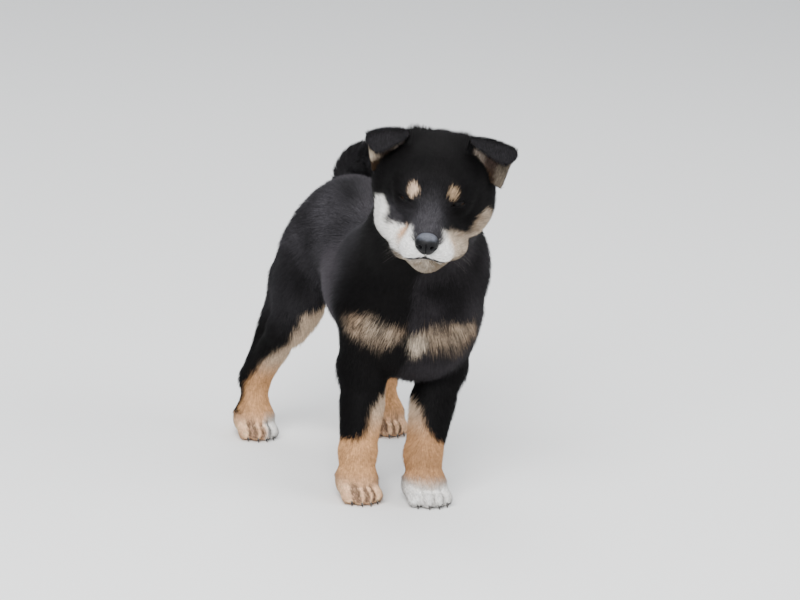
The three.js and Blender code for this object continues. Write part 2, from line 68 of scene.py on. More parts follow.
# Sizes are in millimetres and turned into metres when a mesh is made.
# The puppy looks along -Y, its own left is +X, and the ground is z = 0.
sides = {"right": -1, "left": 1}
stance = {
    "right": {"fore": (-39, -7), "hind": (-61, 168)},
    "left": {"fore": (10, -22), "hind": (48, 164)},
}
spread = {"right": {"fore": 0.86, "hind": 0.88}, "left": {"fore": 1.0, "hind": 0.88}}  # of the toes
headPose = {"centre": (-6.6, -19.6, 248), "yaw": -25, "pitch": 7.5, "roll": 1.5}
eyeSpot = (17.4, -34.8, 4.4)
eyeRadius = 7.8
noseSpot = (0, -75, -16)
croupHeight = 219


# Distance fields: each takes an array of points and gives how far outside the form they are.
def ball(centre, radius):
    centre = np.array(centre, float)
    return lambda p: np.linalg.norm(p - centre, axis=1) - radius


def egg(centre, radii):
    centre, radii = np.array(centre, float), np.array(radii, float)

    def field(p):
        d = (p - centre) / radii
        near = np.sqrt((d * d).sum(1))
        slope = np.sqrt(((d / radii) ** 2).sum(1))
        return np.where(slope < 1e-9, -radii.min(), near * (near - 1) / np.maximum(slope, 1e-9))

    return field


def limb(a, ra, b, rb):
    # a cone with round ends
    a, b = np.array(a, float), np.array(b, float)
    ba = b - a
    long2 = ba @ ba
    drop = ra - rb
    side2 = long2 - drop * drop

    def field(p):
        pa = p - a
        along = pa @ ba
        past = along - long2
        off = pa * long2 - ba * along[:, None]
        off2 = (off * off).sum(1)
        lean = np.sign(drop) * drop * drop * off2
        far = np.sqrt(off2 + past * past * long2) / long2 - rb
        near = np.sqrt(off2 + along * along * long2) / long2 - ra
        cone = (np.sqrt(off2 * side2 / long2) + along * drop) / long2 - ra
        out = np.where(np.sign(along) * side2 * along * along * long2 < lean, near, cone)
        return np.where(np.sign(past) * side2 * past * past * long2 > lean, far, out)

    return field


def soften(a, b, k):
    # the nearer of two distances, with a fillet of about k
    h = np.maximum(k - np.abs(a - b), 0) / k
    return np.minimum(a, b) - h * h * k / 4


def carved(a, b, k):
    # the distance to a with b cut out of it, its edges rounded by about k
    return -soften(-a, b, k)


def merge(k, *fields):
    def field(p):
        d = fields[0](p)
        for other in fields[1:]:
            d = soften(d, other(p), k)
        return d

    return field


def hollow(k, solid, cut):
    return lambda p: carved(solid(p), cut(p), k)


def within(low, high, field, far=60.0):
    # the field where it matters, and simply far off elsewhere
    low, high = np.array(low, float), np.array(high, float)

    def limited(p):
        out = np.full(len(p), far)
        near = np.all((p > low) & (p < high), axis=1)
        if near.any():
            out[near] = field(p[near])
        return out

    return limited


def smooth(a, b, v):
    t = np.clip((v - a) / (b - a), 0, 1)
    return t * t * (3 - 2 * t)


def mix(a, b, t):
    # of numbers, colours or rows of them, t of the way from a to b
    t = np.asarray(t, float)
    if t.ndim == 1 and any(np.ndim(v) == 2 or np.shape(v) == (3,) for v in (a, b)):
        t = t[:, None]
    return a * (1 - t) + b * t


def unit(v):
    return v / np.maximum(np.linalg.norm(v, axis=-1, keepdims=True), 1e-9)


def turn(axis, degrees):
    c, s = math.cos(math.radians(degrees)), math.sin(math.radians(degrees))
    i, j = {"x": (1, 2), "y": (2, 0), "z": (0, 1)}[axis]
    m = np.eye(3)
    m[i, i] = m[j, j] = c
    m[i, j], m[j, i] = -s, s
    return m


headTurn = turn("z", headPose["yaw"]) @ turn("x", headPose["pitch"]) @ turn("y", headPose["roll"])
headCentre = np.array(headPose["centre"], float)


def toHead(p):
    return (np.asarray(p) - headCentre) @ headTurn


def fromHead(p):
    return np.asarray(p, float) @ headTurn.T + headCentre


def mirrored(point, s):
    return (s * point[0], point[1], point[2])


def lattice(p, scale, seed):
    # smooth noise from -1 to 1, with features of about scale millimetres
    q = np.asarray(p) / scale + seed * 17.31
    cell = np.floor(q).astype(np.int64)
    f = q - cell
    f = f * f * (3 - 2 * f)
    total = 0.0
    for corner in range(8):
        step = np.array([corner & 1, (corner >> 1) & 1, corner >> 2])
        c = cell + step
        key = (c[:, 0] * 73856093) ^ (c[:, 1] * 19349663) ^ (c[:, 2] * 83492791) ^ (seed * 2654435)
        key = (key ^ (key >> 13)) * 1274126177
        value = ((key ^ (key >> 16)) & 65535) / 32767.5 - 1
        weight = np.prod(np.where(step == 1, f, 1 - f), axis=1)
        total = total + value * weight
    return total


def boxCentre(node):
    low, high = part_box(node)
    return (np.array(low) + np.array(high)) * 500


# where the model's own origin lies from the one used for the sizes here
shift = np.mean([boxCentre(f"eye_{n}") - fromHead(mirrored(eyeSpot, s)) for n, s in sides.items()], axis=0)
shift[2] = 0
print("frame: origin moved by", np.round(shift, 2), "mm")


def metres(p):
    return (np.asarray(p, float) + shift) / 1000


# The coat's depth over the skin.
coatDepth = {
    "trunk": 6.5, "ruff": 8, "muzzle": 1.3, "face": 2.2, "cheek": 5, "skull": 4.5,
    "legTop": 6, "legLow": 2.6, "toe": 1, "tail": 9, "ear": 1.2,
}


def headDepth(h):
    x, y, z = h.T
    d = mix(coatDepth["muzzle"], coatDepth["face"], smooth(-68, -46, y))
    d = mix(d, coatDepth["skull"], smooth(-34, 2, y))
    d = mix(d, coatDepth["cheek"], smooth(24, 40, np.abs(x)) * smooth(-42, -22, y) * smooth(4, -12, z))
    return mix(d, coatDepth["ruff"], smooth(-30, -48, z) * smooth(-40, -16, y))


def legDepth(p):
    d = mix(coatDepth["toe"], coatDepth["legLow"], smooth(8, 30, p[:, 2]))
    return mix(d, coatDepth["legTop"], smooth(38, 118, p[:, 2]))


def trunkDepth(p):
    front = smooth(60, 20, p[:, 1]) * smooth(120, 175, p[:, 2])
    return mix(coatDepth["trunk"], coatDepth["ruff"], front)


def trunkField():
    ribs = egg((-3, 62, 152), (52, 70, 50))
    forechest = egg((5, 24, 138), (48, 38, 50))
    withers = egg((2, 58, 174), (37, 44, 34))
    loin = egg((-2, 120, 166), (43, 54, 41))
    rump = egg((-5, 158, croupHeight - 54), (50, 41, 43))
    croup = egg((-6, 140, croupHeight - 41), (37, 50, 44))
    neck = limb((5, 40, 172), 50, (-3, 0, 222), 42.5)
    shoulder = egg((20, 16, 178), (36, 34, 42))
    return merge(16, ribs, forechest, withers, loin, rump, croup, neck, shoulder)


def skullField():
    parts = [
        egg((0, 3, 5), (41.5, 40, 38.5)),
        egg((-32.5, 5, -1), (16, 22, 24)),
        egg((29, 6, -7), (16, 22, 21)),
        egg((-25.5, -13, -19.5), (18.5, 27, 21)),
        egg((24, -8, -13), (18.5, 27, 20)),
        egg((0, -18, 8), (34, 26, 25)),
        limb((0, -30, -9), 20, (0, -61, -15), 13.5),
        limb((0, -24, -29), 18, (0, -56, -32.2), 13),
    ]
    for s in sides.values():
        parts += [
            egg((s * 8.5, -58, -25), (12, 15, 10.5)),
            egg((s * 16, -31, 13.5), (12, 10.5, 7)),
            egg((s * 18, 6, 25.5 - s * 1.5), (13, 12, 15)),
            egg((s * 17.5, -38, s * 1.5 - 29.5), (11.5, 17, 11)),
        ]
    face = merge(10, *parts)
    sockets = merge(4, *[ball((s * 20.5, -50, 0), 5) for s in sides.values()])
    return hollow(9, face, sockets)


toes = [(-1.5, 4), (-0.5, 0), (0.5, 0), (1.5, 4)]  # across the paw, and how far back


def pawField(px, py, tall, fan):
    digits = [
        limb((px + a * fan * 6, py + 23, 12), 8, (px + a * fan * 7.6, py + 6.8 + back, 6.2), 6.8)
        for a, back in toes
    ]
    pad = egg((px, py + 26, 11), (16.5 * fan, 17, 13))
    top = egg((px, py + 24, tall), (14.5, 15, 14))
    return merge(3, pad, top, merge(1.2, *digits))


def foreleg(side):
    s = sides[side]
    px, py = stance[side]["fore"]
    shoulder, elbow, wrist = (s * 32 + 3, 36, 142), (s * 30.5 + 1, 39, 100), (px - s, py + 28, 36)
    upper, forearm = limb(shoulder, 26, elbow, 22.5), limb(elbow, 21, wrist, 14.4)
    pastern = limb(wrist, 14.4, (px, py + 25, 18), 14.8)
    return merge(6, merge(8, upper, forearm), pastern, pawField(px, py, 18, spread[side]["fore"]))


def hindleg(side):
    s = sides[side]
    px, py = stance[side]["hind"]
    kneeX, hockX = {"right": (-50, -60.5), "left": (30, 45.5)}[side]
    hip, knee, hock = (s * 26 - 4, 154, 152), (kneeX, 156, 100), (hockX, py + 27, 46)
    thigh = merge(10, egg((s * 37 - 4, 163, 130), (22, 34, 42)), limb(hip, 28, knee, 16))
    gaskin = limb((s * 35 - 5, 179, 132), 19, hock, 11)
    shank, pastern = limb(knee, 16, hock, 11.5), limb(hock, 11.5, (px, py + 24, 18), 13.2)
    return merge(8, thigh, gaskin, merge(5, shank, pastern), pawField(px, py, 16, spread[side]["hind"]))


# The tail rises from the croup and curls forward over the back.
tailKnots = np.array(
    [(6, 172, -30), (9, 187, -14), (13, 184, 0), (18, 164, 7), (25, 138, 3), (30, 116, -7)], float
) + (0, 0, croupHeight)


def tailPoint(t):
    # a smooth curve through the knots, t from 0 at the root to 1
    t = np.atleast_1d(t) * (len(tailKnots) - 1)
    i = np.clip(t.astype(int), 0, len(tailKnots) - 2)
    u = (t - i)[:, None]
    ends = np.vstack([2 * tailKnots[0] - tailKnots[1], tailKnots, 2 * tailKnots[-1] - tailKnots[-2]])
    a, b, c, d = (ends[i + n] for n in range(4))
    return 0.5 * (2 * b + (c - a) * u + (2 * a - 5 * b + 4 * c - d) * u**2 + (3 * b - a - 3 * c + d) * u**3)


tailCore = {"root": 10.0, "thinner": 4.5}
tailSteps = np.linspace(0, 1, 33)
tailLine = tailPoint(tailSteps)
tailAlong = unit(np.gradient(tailLine, axis=0))


def tailField():
    radius = tailCore["root"] - tailCore["thinner"] * tailSteps**2
    pieces = [
        limb(tailLine[i], radius[i], tailLine[i + 2], radius[i + 2]) for i in range(0, len(tailSteps) - 2, 2)
    ]
    return merge(2, *pieces)


# Each ear is a sheet that stands on the head, folds over and hangs forward, with its edges cupped.
ear = {"foldRadius": 3.4, "rootHalf": 15, "cup": 7, "halfThick": 1.15, "rows": 44, "columns": 26}
earShapes = {
    "right": {"root": (-31.5, 4, 14), "standing": 26, "foldHalf": 15, "flap": 11, "fold": 150, "lean": -7},
    "left": {"root": (31.5, 0, 12.5), "standing": 28, "foldHalf": 17, "flap": 13, "fold": 118, "lean": -9},
}


def earSheet(side):
    # the middle of the sheet in rows from root to tip, with the way along it and the way it faces
    s, shape = sides[side], earShapes[side]
    up = unit(np.array([s * 0.24, -0.1, 0.96]))
    ahead = np.array([s * 0.15, -1, -0.05])
    ahead = unit(ahead - up * (ahead @ up))
    across = unit(-s * np.cross(up, ahead))
    arc = ear["foldRadius"] * math.radians(shape["fold"])
    total = shape["standing"] + arc + shape["flap"]
    reach, v = np.meshgrid(
        np.linspace(0, total, ear["rows"] + 1), np.linspace(-1, 1, ear["columns"] + 1), indexing="ij"
    )
    reach, v = reach.ravel(), v.ravel()
    bend = np.clip((reach - shape["standing"]) / arc, 0, 1) * math.radians(shape["fold"])
    past = np.maximum(reach - shape["standing"] - arc, 0)
    cos, sin = np.cos(bend)[:, None], np.sin(bend)[:, None]
    along = up * cos + ahead * sin
    facing = ahead * cos - up * sin
    tip = past / shape["flap"]
    widening = np.minimum(reach / (shape["standing"] + arc), 1)
    half = mix(ear["rootHalf"], shape["foldHalf"], widening) * (1 - 0.88 * tip**1.5)
    points = (
        np.array(shape["root"], float)
        + up * (np.minimum(reach, shape["standing"])[:, None] + ear["foldRadius"] * sin)
        + ahead * (ear["foldRadius"] * (1 - cos))
        + along * past[:, None]
        + across * (half * v + shape["lean"] * tip)[:, None]
        + facing * (ear["cup"] * (1 - reach / total) * v * v)[:, None]
    )
    columns = ear["columns"] + 1
    start = (np.arange(ear["rows"])[:, None] * columns + np.arange(ear["columns"])).ravel()
    quads = np.stack([start, start + 1, start + columns + 1, start + columns], 1)
    placed = fromHead(points)
    return {
        "points": placed,
        "along": along @ headTurn.T,
        "facing": facing @ headTurn.T,
        "reach": reach / total,
        "v": v,
        "quads": quads,
        "tree": BVHTree.FromPolygons(placed.tolist(), quads.tolist()),
        "low": placed.min(0) - 7,
        "high": placed.max(0) + 7,
    }


earSheets = {side: earSheet(side) for side in sides}


def earField(side):
    tree = earSheets[side]["tree"]
    thick = ear["halfThick"]

    def field(p):
        found = (tree.find_nearest(point, 14) for point in p.tolist())
        return np.array([12.0 if hit[3] is None else hit[3] for hit in found]) - thick

    return within(earSheets[side]["low"], earSheets[side]["high"], field, 12.0)


eyeOpening = {
    "halfWidth": 5.8, "upper": 2.2, "lower": 1.9, "slant": 14, "outward": 14, "lid": 0.9, "edge": 0.7,
}


def eyeFrame(s):
    # columns: across the eye towards its outer corner, up, and out of the head, all in the head's frame
    out = turn("z", s * eyeOpening["outward"]) @ np.array([0, -1, 0.0])
    up = np.array([0, 0, 1.0])
    slant = math.radians(eyeOpening["slant"])
    tilted = s * unit(np.cross(up, out)) * math.cos(slant) + up * math.sin(slant)
    return np.stack([tilted, s * unit(np.cross(out, tilted)), out], 1)


eyeFrames = {side: eyeFrame(s) for side, s in sides.items()}


def almondEdge(u):
    # the upper and lower lid's height at u from -1 to 1 across the eye
    bow = np.maximum(1 - np.abs(u) ** 2.2, 0)
    return eyeOpening["upper"] * bow, -eyeOpening["lower"] * np.maximum(1 - np.abs(u) ** 1.8, 0)


def eyeCut(side):
    s = sides[side]
    wide = eyeOpening["halfWidth"]

    def field(h):
        q = (h - mirrored(eyeSpot, s)) @ eyeFrames[side]
        upper, lower = almondEdge(np.clip(q[:, 0] / wide, -1, 1))
        middle, half = (upper + lower) / 2, (upper - lower) / 2
        lean = 1 / np.sqrt(1 + (2 * half.max() * q[:, 0] / wide**2) ** 2) if len(q) else 1
        flat = (np.abs(q[:, 1] - middle) - half) * lean
        flat = np.maximum(flat, np.abs(q[:, 0]) - wide)
        return np.maximum(flat, -q[:, 2] + 2)

    return field


mouth = {
    "height": -31.2, "rise": 0.052, "slit": 0.45, "deep": 2.0, "corner": -41, "half": 14, "drop": 3.0,
    "edge": 0.9,
}


def mouthHeight(x, y):
    # the line drops from the middle to its corners
    return mouth["height"] - mouth["rise"] * y - mouth["drop"] * smooth(1, mouth["half"], np.abs(x))


def headField(h):
    d = skull(h) + headDepth(h)
    eyes = [ball(mirrored(eyeSpot, s), eyeRadius + eyeOpening["lid"])(h) for s in sides.values()]
    d = soften(d, np.minimum(*eyes), 6)
    front = h[:, 1] < mouth["corner"] + 6
    if front.any():
        f = h[front]
        slit = np.abs(f[:, 2] - mouthHeight(f[:, 0], f[:, 1])) - mouth["slit"]
        slit = np.maximum(slit, -(d[front] + mouth["deep"]))
        slit = np.maximum(slit, np.maximum(f[:, 1] - mouth["corner"], np.abs(f[:, 0]) - mouth["half"]))
        philtrum = np.maximum(np.abs(f[:, 0]) - 0.3, -(d[front] + 1.0))
        philtrum = np.maximum(philtrum, np.maximum(f[:, 1] + 66, f[:, 2] + 18))
        philtrum = np.maximum(philtrum, mouthHeight(f[:, 0], f[:, 1]) - f[:, 2])
        d[front] = carved(carved(d[front], slit, mouth["edge"]), philtrum, mouth["edge"])
    for side in sides:
        d = carved(d, cuts[side](h), eyeOpening["edge"])
    return d


skull = skullField()
cuts = {side: eyeCut(side) for side in sides}
trunk = trunkField()
tail = tailField()
legNames = ["fore_right", "fore_left", "hind_right", "hind_left"]
partNames = ["trunk", "head", *legNames, "tail", "ear_right", "ear_left"]
partFields = {
    "trunk": lambda p: trunk(p) + trunkDepth(p),
    "head": within((-75, -115, 165), (65, 50, 310), lambda p: headField(toHead(p))),
    "tail": within((-20, 90, 160), (55, 220, 255), tail),
}
for side in sides:
    px, py = stance[side]["fore"]
    low, high = (px - 45, py - 25, -20), (px + 45, py + 110, 190)
    partFields[f"fore_{side}"] = within(low, high, lambda p, f=foreleg(side): f(p) + legDepth(p))
    px, py = stance[side]["hind"]
    low, high = (min(px, -10) - 30, py - 70, -20), (max(px, 0) + 30, py + 70, 210)
    partFields[f"hind_{side}"] = within(low, high, lambda p, f=hindleg(side): f(p) + legDepth(p))
    partFields[f"ear_{side}"] = earField(side)


def parts(p):
    return {name: partFields[name](p) for name in partNames}


def skinField(p):
    d = parts(p)
    body = d["trunk"]
    whole = body
    for name in ["head", *legNames]:
        whole = np.minimum(whole, soften(body, d[name], 13))
    whole = soften(whole, d["tail"], 5)
    return soften(soften(whole, d["ear_right"], 4), d["ear_left"], 4)


def gridNet(field, lines, coarse=4, reach=1.3):
    # a net of quads round the form, one point in each cell of the grid that its surface crosses
    counts = [len(line) for line in lines]
    blocks = [line[::coarse] for line in lines]
    corner = np.stack(np.meshgrid(*blocks, indexing="ij"), -1)
    value = field(corner.reshape(-1, 3)).reshape(corner.shape[:3])
    widest = math.sqrt(sum(np.diff(b).max() ** 2 for b in blocks))
    near = np.abs(value) < widest * reach
    wanted = np.zeros(counts, bool)
    eight = np.zeros([n - 1 for n in near.shape], bool)
    for i in (0, 1):
        for j in (0, 1):
            for k in (0, 1):
                eight |= near[i : near.shape[0] - 1 + i, j : near.shape[1] - 1 + j, k : near.shape[2] - 1 + k]
    for i, j, k in np.argwhere(eight) * coarse:
        wanted[i : i + coarse + 1, j : j + coarse + 1, k : k + coarse + 1] = True
    at = np.argwhere(wanted)
    points = np.stack([lines[a][at[:, a]] for a in range(3)], 1)
    values = np.full(counts, np.nan)
    batches = np.array_split(points, max(len(points) // 200000, 1))
    values[wanted] = np.concatenate([field(batch) for batch in batches])
    inside = values < 0
    known = ~np.isnan(values)
    total = np.zeros((3, values.size))
    hits = np.zeros(values.size)
    edges = []
    for axis in range(3):
        lowEnd = [slice(None)] * 3
        highEnd = [slice(None)] * 3
        lowEnd[axis], highEnd[axis] = slice(0, -1), slice(1, None)
        lowEnd, highEnd = tuple(lowEnd), tuple(highEnd)
        crossing = (inside[lowEnd] != inside[highEnd]) & known[lowEnd] & known[highEnd]
        spot = np.argwhere(crossing)
        v0 = values[lowEnd][crossing]
        v1 = values[highEnd][crossing]
        place = np.stack([lines[a][spot[:, a]] for a in range(3)], 1)
        step = lines[axis][spot[:, axis] + 1] - lines[axis][spot[:, axis]]
        place[:, axis] += step * v0 / (v0 - v1)
        b, c = (axis + 1) % 3, (axis + 2) % 3
        ring = []
        for db, dc in ((-1, -1), (0, -1), (0, 0), (-1, 0)):
            cell = spot.copy()
            cell[:, b] += db
            cell[:, c] += dc
            index = np.ravel_multi_index(cell.T, counts)
            ring.append(index)
            for a in range(3):
                total[a] += np.bincount(index, place[:, a], values.size)
            hits += np.bincount(index, minlength=values.size)
        ring = np.stack(ring, 1)
        ring[v0 >= 0] = ring[v0 >= 0][:, ::-1]
        edges.append(ring)
    quads = np.concatenate(edges)
    used = np.flatnonzero(hits)
    rank = np.full(values.size, -1)
    rank[used] = np.arange(len(used))
    return (total[:, used] / hits[used]).T, rank[quads]


def slope(field, p, step=0.25):
    here = field(p)
    away = [field(p + np.eye(3)[a] * step) - here for a in range(3)]
    return here, np.stack(away, 1) / step


def settled(field, points, step=0.25, most=0.5):
    # the points moved onto the surface, and its normals there
    for _ in range(2):
        here, grad = slope(field, points, step)
        steep = np.maximum((grad * grad).sum(1), 0.2)
        move = grad * (here / steep)[:, None]
        size = np.linalg.norm(move, axis=1, keepdims=True)
        points = points - move * np.minimum(1, most / np.maximum(size, 1e-9))
    return points, unit(grad)


def gridLine(low, high, stepOf):
    line = [low]
    while line[-1] < high:
        line.append(line[-1] + stepOf(line[-1]))
    return np.array(line)


# Closely spaced lines through the head, wider ones through the body.
grid = {"head": 0.85, "body": 1.5}
lines = [
    gridLine(-82, 82, lambda x: grid["head"] if -62 < x < 46 else grid["body"]),
    gridLine(-98, 222, lambda y: grid["head"] if y < 26 else grid["body"]),
    gridLine(-4, 300, lambda z: grid["head"] if z > 196 or z < 24 else grid["body"]),
]
skinPoints, skinQuads = gridNet(skinField, lines)
skinPoints, skinNormals = settled(skinField, skinPoints)
skinPoints[:, 2] = np.maximum(skinPoints[:, 2], 0.5)
print("skin:", len(skinPoints), "points")

partValues = parts(skinPoints)
nearest = np.stack([partValues[name] for name in partNames], 1)
label = nearest.argmin(1)


def on(labels, *starts):
    # which points lie on the parts whose names start so
    return np.isin(labels, [i for i, name in enumerate(partNames) if name.startswith(starts)])


# The lie of the coat, part by part.
def nearTail(p):
    gap = ((p[:, None, :] - tailLine[None]) ** 2).sum(2)
    return gap.argmin(1)


def earLookup(side, p):
    sheet = earSheets[side]
    found = [sheet["tree"].find_nearest(point) for point in p.tolist()]
    index = sheet["quads"][np.array([hit[2] for hit in found]), 0]
    above = ((p - np.array([tuple(hit[0]) for hit in found])) * sheet["facing"][index]).sum(1)
    return index, above


def lieOf(p, normals):
    x, y, z = p.T
    h = toHead(p)
    flow = h - np.array([0, -88, -24])
    flow[:, 2] += 4
    underJaw = smooth(-28, -42, h[:, 2])
    lieHead = unit(mix(flow, np.array([0, 1.0, -0.5]), underJaw)) @ headTurn.T
    side = np.clip((x - 2) / 50, -1, 1)
    fall = np.clip(0.25 + 0.7 * np.abs(side), 0, 1)
    lieTrunk = np.stack([0.15 * side, np.full(len(p), 0.9), -fall], 1)
    breast = np.stack([0.25 * side, np.full(len(p), 0.25), np.full(len(p), -1.0)], 1)
    lieTrunk = mix(lieTrunk, breast, smooth(44, 6, y) * smooth(250, 150, z))
    neck = smooth(178, 205, z) * smooth(95, 55, y)
    lieTrunk = mix(lieTrunk, np.stack([0.1 * side, np.full(len(p), 0.6), np.full(len(p), -0.75)], 1), neck)
    lies = {"head": lieHead, "trunk": unit(lieTrunk)}
    for name in ["right", "left"]:
        for leg in ["fore", "hind"]:
            lie = np.tile([0, 0.12 if leg == "fore" else 0.35, -1.0], (len(p), 1))
            toeward = smooth(30, 16, z)
            lie = mix(lie, np.array([0, -1.0, -0.35]), toeward)
            lies[f"{leg}_{name}"] = unit(lie)
    lies["tail"] = tailAlong[nearTail(p)]
    out = np.zeros_like(p)
    values = np.stack([partValues[name] for name in lies], 1)
    weight = np.exp(-(values - values.min(1, keepdims=True)) / 3.5)
    weight /= weight.sum(1, keepdims=True)
    for i, name in enumerate(lies):
        out += lies[name] * weight[:, i : i + 1]
    for name in sides:
        here = on(label, f"ear_{name}")
        index, _ = earLookup(name, p[here])
        out[here] = earSheets[name]["along"][index]
    out -= normals * (out * normals).sum(1, keepdims=True)
    return unit(out)


lies = lieOf(skinPoints, skinNormals)
print("lie of the coat set")

# The coat's colours, in linear light.
palette = {
    "black": (0.0018, 0.0018, 0.0020),
    "sheen": (0.0050, 0.0044, 0.0045),
    # the grey below is a painted sheen on the black coat: back, flanks, ribs, muzzle top, one side of the
    # face, tail and ear flaps
    "slate": (0.035, 0.033, 0.037),
    "tan": (0.43, 0.245, 0.125),
    "ginger": (0.56, 0.33, 0.19),
    "cream": (0.56, 0.46, 0.35),
    "white": (0.87, 0.85, 0.81),
    "earLining": (0.046, 0.031, 0.025),
    "earHair": (0.20, 0.165, 0.135),
}
tone = SimpleNamespace(**{name: np.array(rgb) for name, rgb in palette.items()})


# The middle and the radii of each marking. Those of the face are in the head's own frame.
marks = {
    # ribs: not a marking but where a painted highlight lies along the side of the ribs
    "ribs": ((-50, 80, 150), (24, 30, 50)),
    "cheekRight": ((-41, -25, -17.5), (14.5, 16.5, 14)),
    "cheekLeft": ((40, -25, -20), (14.5, 16, 13.5)),
    "gingerRight": ((-16.5, -51, -20), (5.5, 10, 8.5)),
    "gingerLeft": ((17, -50, -21), (7, 11, 8.5)),
    "browRight": ((-13.4, -43.5, 10.3), (3.3, 9, 4.7)),
    "browLeft": ((13.4, -43.5, 10.3), (3.3, 9, 4.7)),
    "chestRight": ((-34, 9, 138.5), (20, 32, 10)),
    "chestLeft": ((19, -7, 138.5), (27, 22, 11)),
    "chestPoint": ((-7, -8, 133), (6, 14, 8.5)),
    "seat": ((-2, 203, 158), (20, 16, 34)),
}


def blob(p, mark):
    # above 0 inside a marking, in about millimetres
    return -egg(*marks[mark])(p)


def edged(value, noise, ragged=2.0, soft=1.6):
    return smooth(-soft, soft, value + noise * ragged)


def marked(p, labels):
    # the coat's colour at each point, from where it lies on the body
    n1, n2, n3, n4 = lattice(p, 7, 1), lattice(p, 3.2, 2), lattice(p, 16, 3), lattice(p, 1.4, 4)
    rag = n1 * 0.6 + n2 * 0.5
    pepper = smooth(-0.5, 0.6, n4 + 0.6 * n2)
    rgb = mix(tone.black, tone.sheen, 0.35 + 0.3 * n3)
    x, y, z = p.T
    h = toHead(p)
    hx, hy, hz = h.T
    ax = np.abs(hx)
    isHead, isTrunk, isTail = (on(labels, name) for name in ["head", "trunk", "tail"])
    # back and flanks: a soft painted sheen of dark grey, in bands along the lie
    sheenBands = lattice(p * (0.5, 0.25, 0.12), 4, 6) * 0.5 + 0.5 * n3
    flankSheen = smooth(20, 70, y) * smooth(95, 120, z) * (isTrunk + 0.6 * on(labels, "hind"))
    rgb = mix(rgb, tone.slate, flankSheen * np.clip(0.6 + 0.55 * sheenBands, 0, 1))
    # painted highlight: a lighter grey strip of sheen along the side of the ribs
    ribs = blob(p, "ribs") * smooth(-10, -30, x)
    rgb = mix(rgb, tone.slate * (1.5, 1.42, 1.44), smooth(-6, 12, ribs + 4 * n3) * isTrunk * 0.75)
    # head: a darker mask above pale cheeks and muzzle
    edge = np.interp(hy, [-82, -62, -50, -38, -28, -16], [-10, -12, -15.5, -20, -23, -27])
    edge = edge - 1.5 * smooth(4, 14, hx) * smooth(-70, -58, hy)
    band = np.where(hz > -17, ax - np.interp(hy, [-80, -62, -50], [9, 11.5, 16]), 20)
    muzzle = np.minimum(np.minimum(edge + 2 - hz, -17 - hy), np.where(hy < -46, band, 20))
    cheeks = np.maximum(blob(h, "cheekRight"), blob(h, "cheekLeft"))
    near = isHead | (isTrunk & (hz > -46) & (hy < 10))
    # the pale part ends below in a V, as seen from ahead and a little above
    hang = hz * 0.93 + hy * 0.366 + 42.3
    below = hang - np.interp(ax, [0, 10, 18, 24, 32, 38, 46], [-24, -20, -12, -5, 3, 11, 17])
    pale = edged(np.minimum(np.maximum(muzzle, cheeks), below), rag) * near
    ginger = np.maximum(blob(h, "gingerRight"), blob(h, "gingerLeft"))
    # painted highlight: a lighter grey sheen along the top of the muzzle
    bridgeSheen = smooth(22, 6, np.abs(hx + 4)) * smooth(-36, -58, hy) * smooth(-24, -12, hz)
    rgb = mix(rgb, tone.slate * 1.25, bridgeSheen * (0.75 + 0.2 * n2) * isHead)
    # painted sheen: the dark mask made lighter grey on the face's right side, which faces the light
    mask = smooth(-8, -22, hx) * smooth(-16, -34, hy) * smooth(3, -6, hz)
    rgb = mix(rgb, tone.slate * 0.9, mask * (0.7 + 0.25 * n2) * isHead)
    lower = mix(tone.cream, tone.white, smooth(-42, -62, hy))
    lower = mix(lower, tone.white, smooth(-2, -14, hx) * 0.85)
    lower = mix(lower, tone.cream, smooth(2, 10, hx) * smooth(-70, -60, hy) * 0.8)
    lower = mix(lower, tone.ginger, np.clip(smooth(-4, 3, ginger) * (0.8 + 0.3 * n2), 0, 1))
    lower = mix(lower, tone.cream * 0.85, smooth(6, 14, hx) * smooth(-64, -54, hy))
    streaks = smooth(6, 22, hx) * smooth(-60, -42, hy)
    lower = mix(lower, tone.tan * (0.42, 0.54, 0.74), np.clip(streaks * (0.7 + 0.7 * n2), 0, 0.92))
    # below the mouth: darker, partly the chin's own tan-grey and partly painted shade under the jaw, most on
    # the left side
    chin = hz - mouthHeight(np.clip(hx, -14, 14), np.minimum(hy, -42))
    chin = smooth(0.4, -1.6, chin) * smooth(-28, -40, hy)
    lower = mix(lower, tone.cream * 0.62, chin * 0.85)
    shadow = np.clip(chin * (0.35 + 0.5 * pepper) + chin * smooth(-2, 12, hx) * 0.45, 0, 0.92)
    lower = mix(lower, tone.tan * (0.28, 0.36, 0.45), shadow)
    rgb = mix(rgb, lower, pale)
    brows = np.maximum(blob(h, "browRight"), blob(h, "browLeft"))
    brow = mix(tone.ginger, tone.cream, 0.6)
    brow = mix(brow, brow * (0.5, 0.48, 0.42), smooth(-4, 4, hx))
    rgb = mix(rgb, brow, edged(brows, rag, 0.8, 1.2) * isHead)
    # chest: a speckled patch each side and a narrow point between them
    chest = [edged(blob(p, name) + 3.5 * n3, rag, 4.5, 4.6) for name in ["chestRight", "chestLeft"]]
    point = edged(blob(p, "chestPoint"), rag, 2.2, 3)
    body = on(labels, "trunk", "fore")
    fawn = mix(tone.cream, tone.tan, 0.35 + 0.3 * n3)
    dusk = smooth(124, 144, z - 3 * n2)[:, None]
    hairs = (0.1 + 0.6 * pepper)[:, None] * (0.42 + 0.58 * dusk)
    rgb = mix(rgb, mix(tone.sheen, fawn, hairs), np.maximum(*chest) * body)
    rgb = mix(rgb, mix(tone.sheen, tone.cream, (0.35 + 0.5 * pepper)[:, None]), point * body)
    # belly and the seat under the tail
    belly = smooth(112, 102, z) * smooth(50, 75, y) * isTrunk
    rgb = mix(rgb, tone.cream, belly * 0.9)
    seat = edged(blob(p, "seat"), rag, 3, 3)
    rgb = mix(rgb, tone.cream * 0.95, seat * ~isTail)
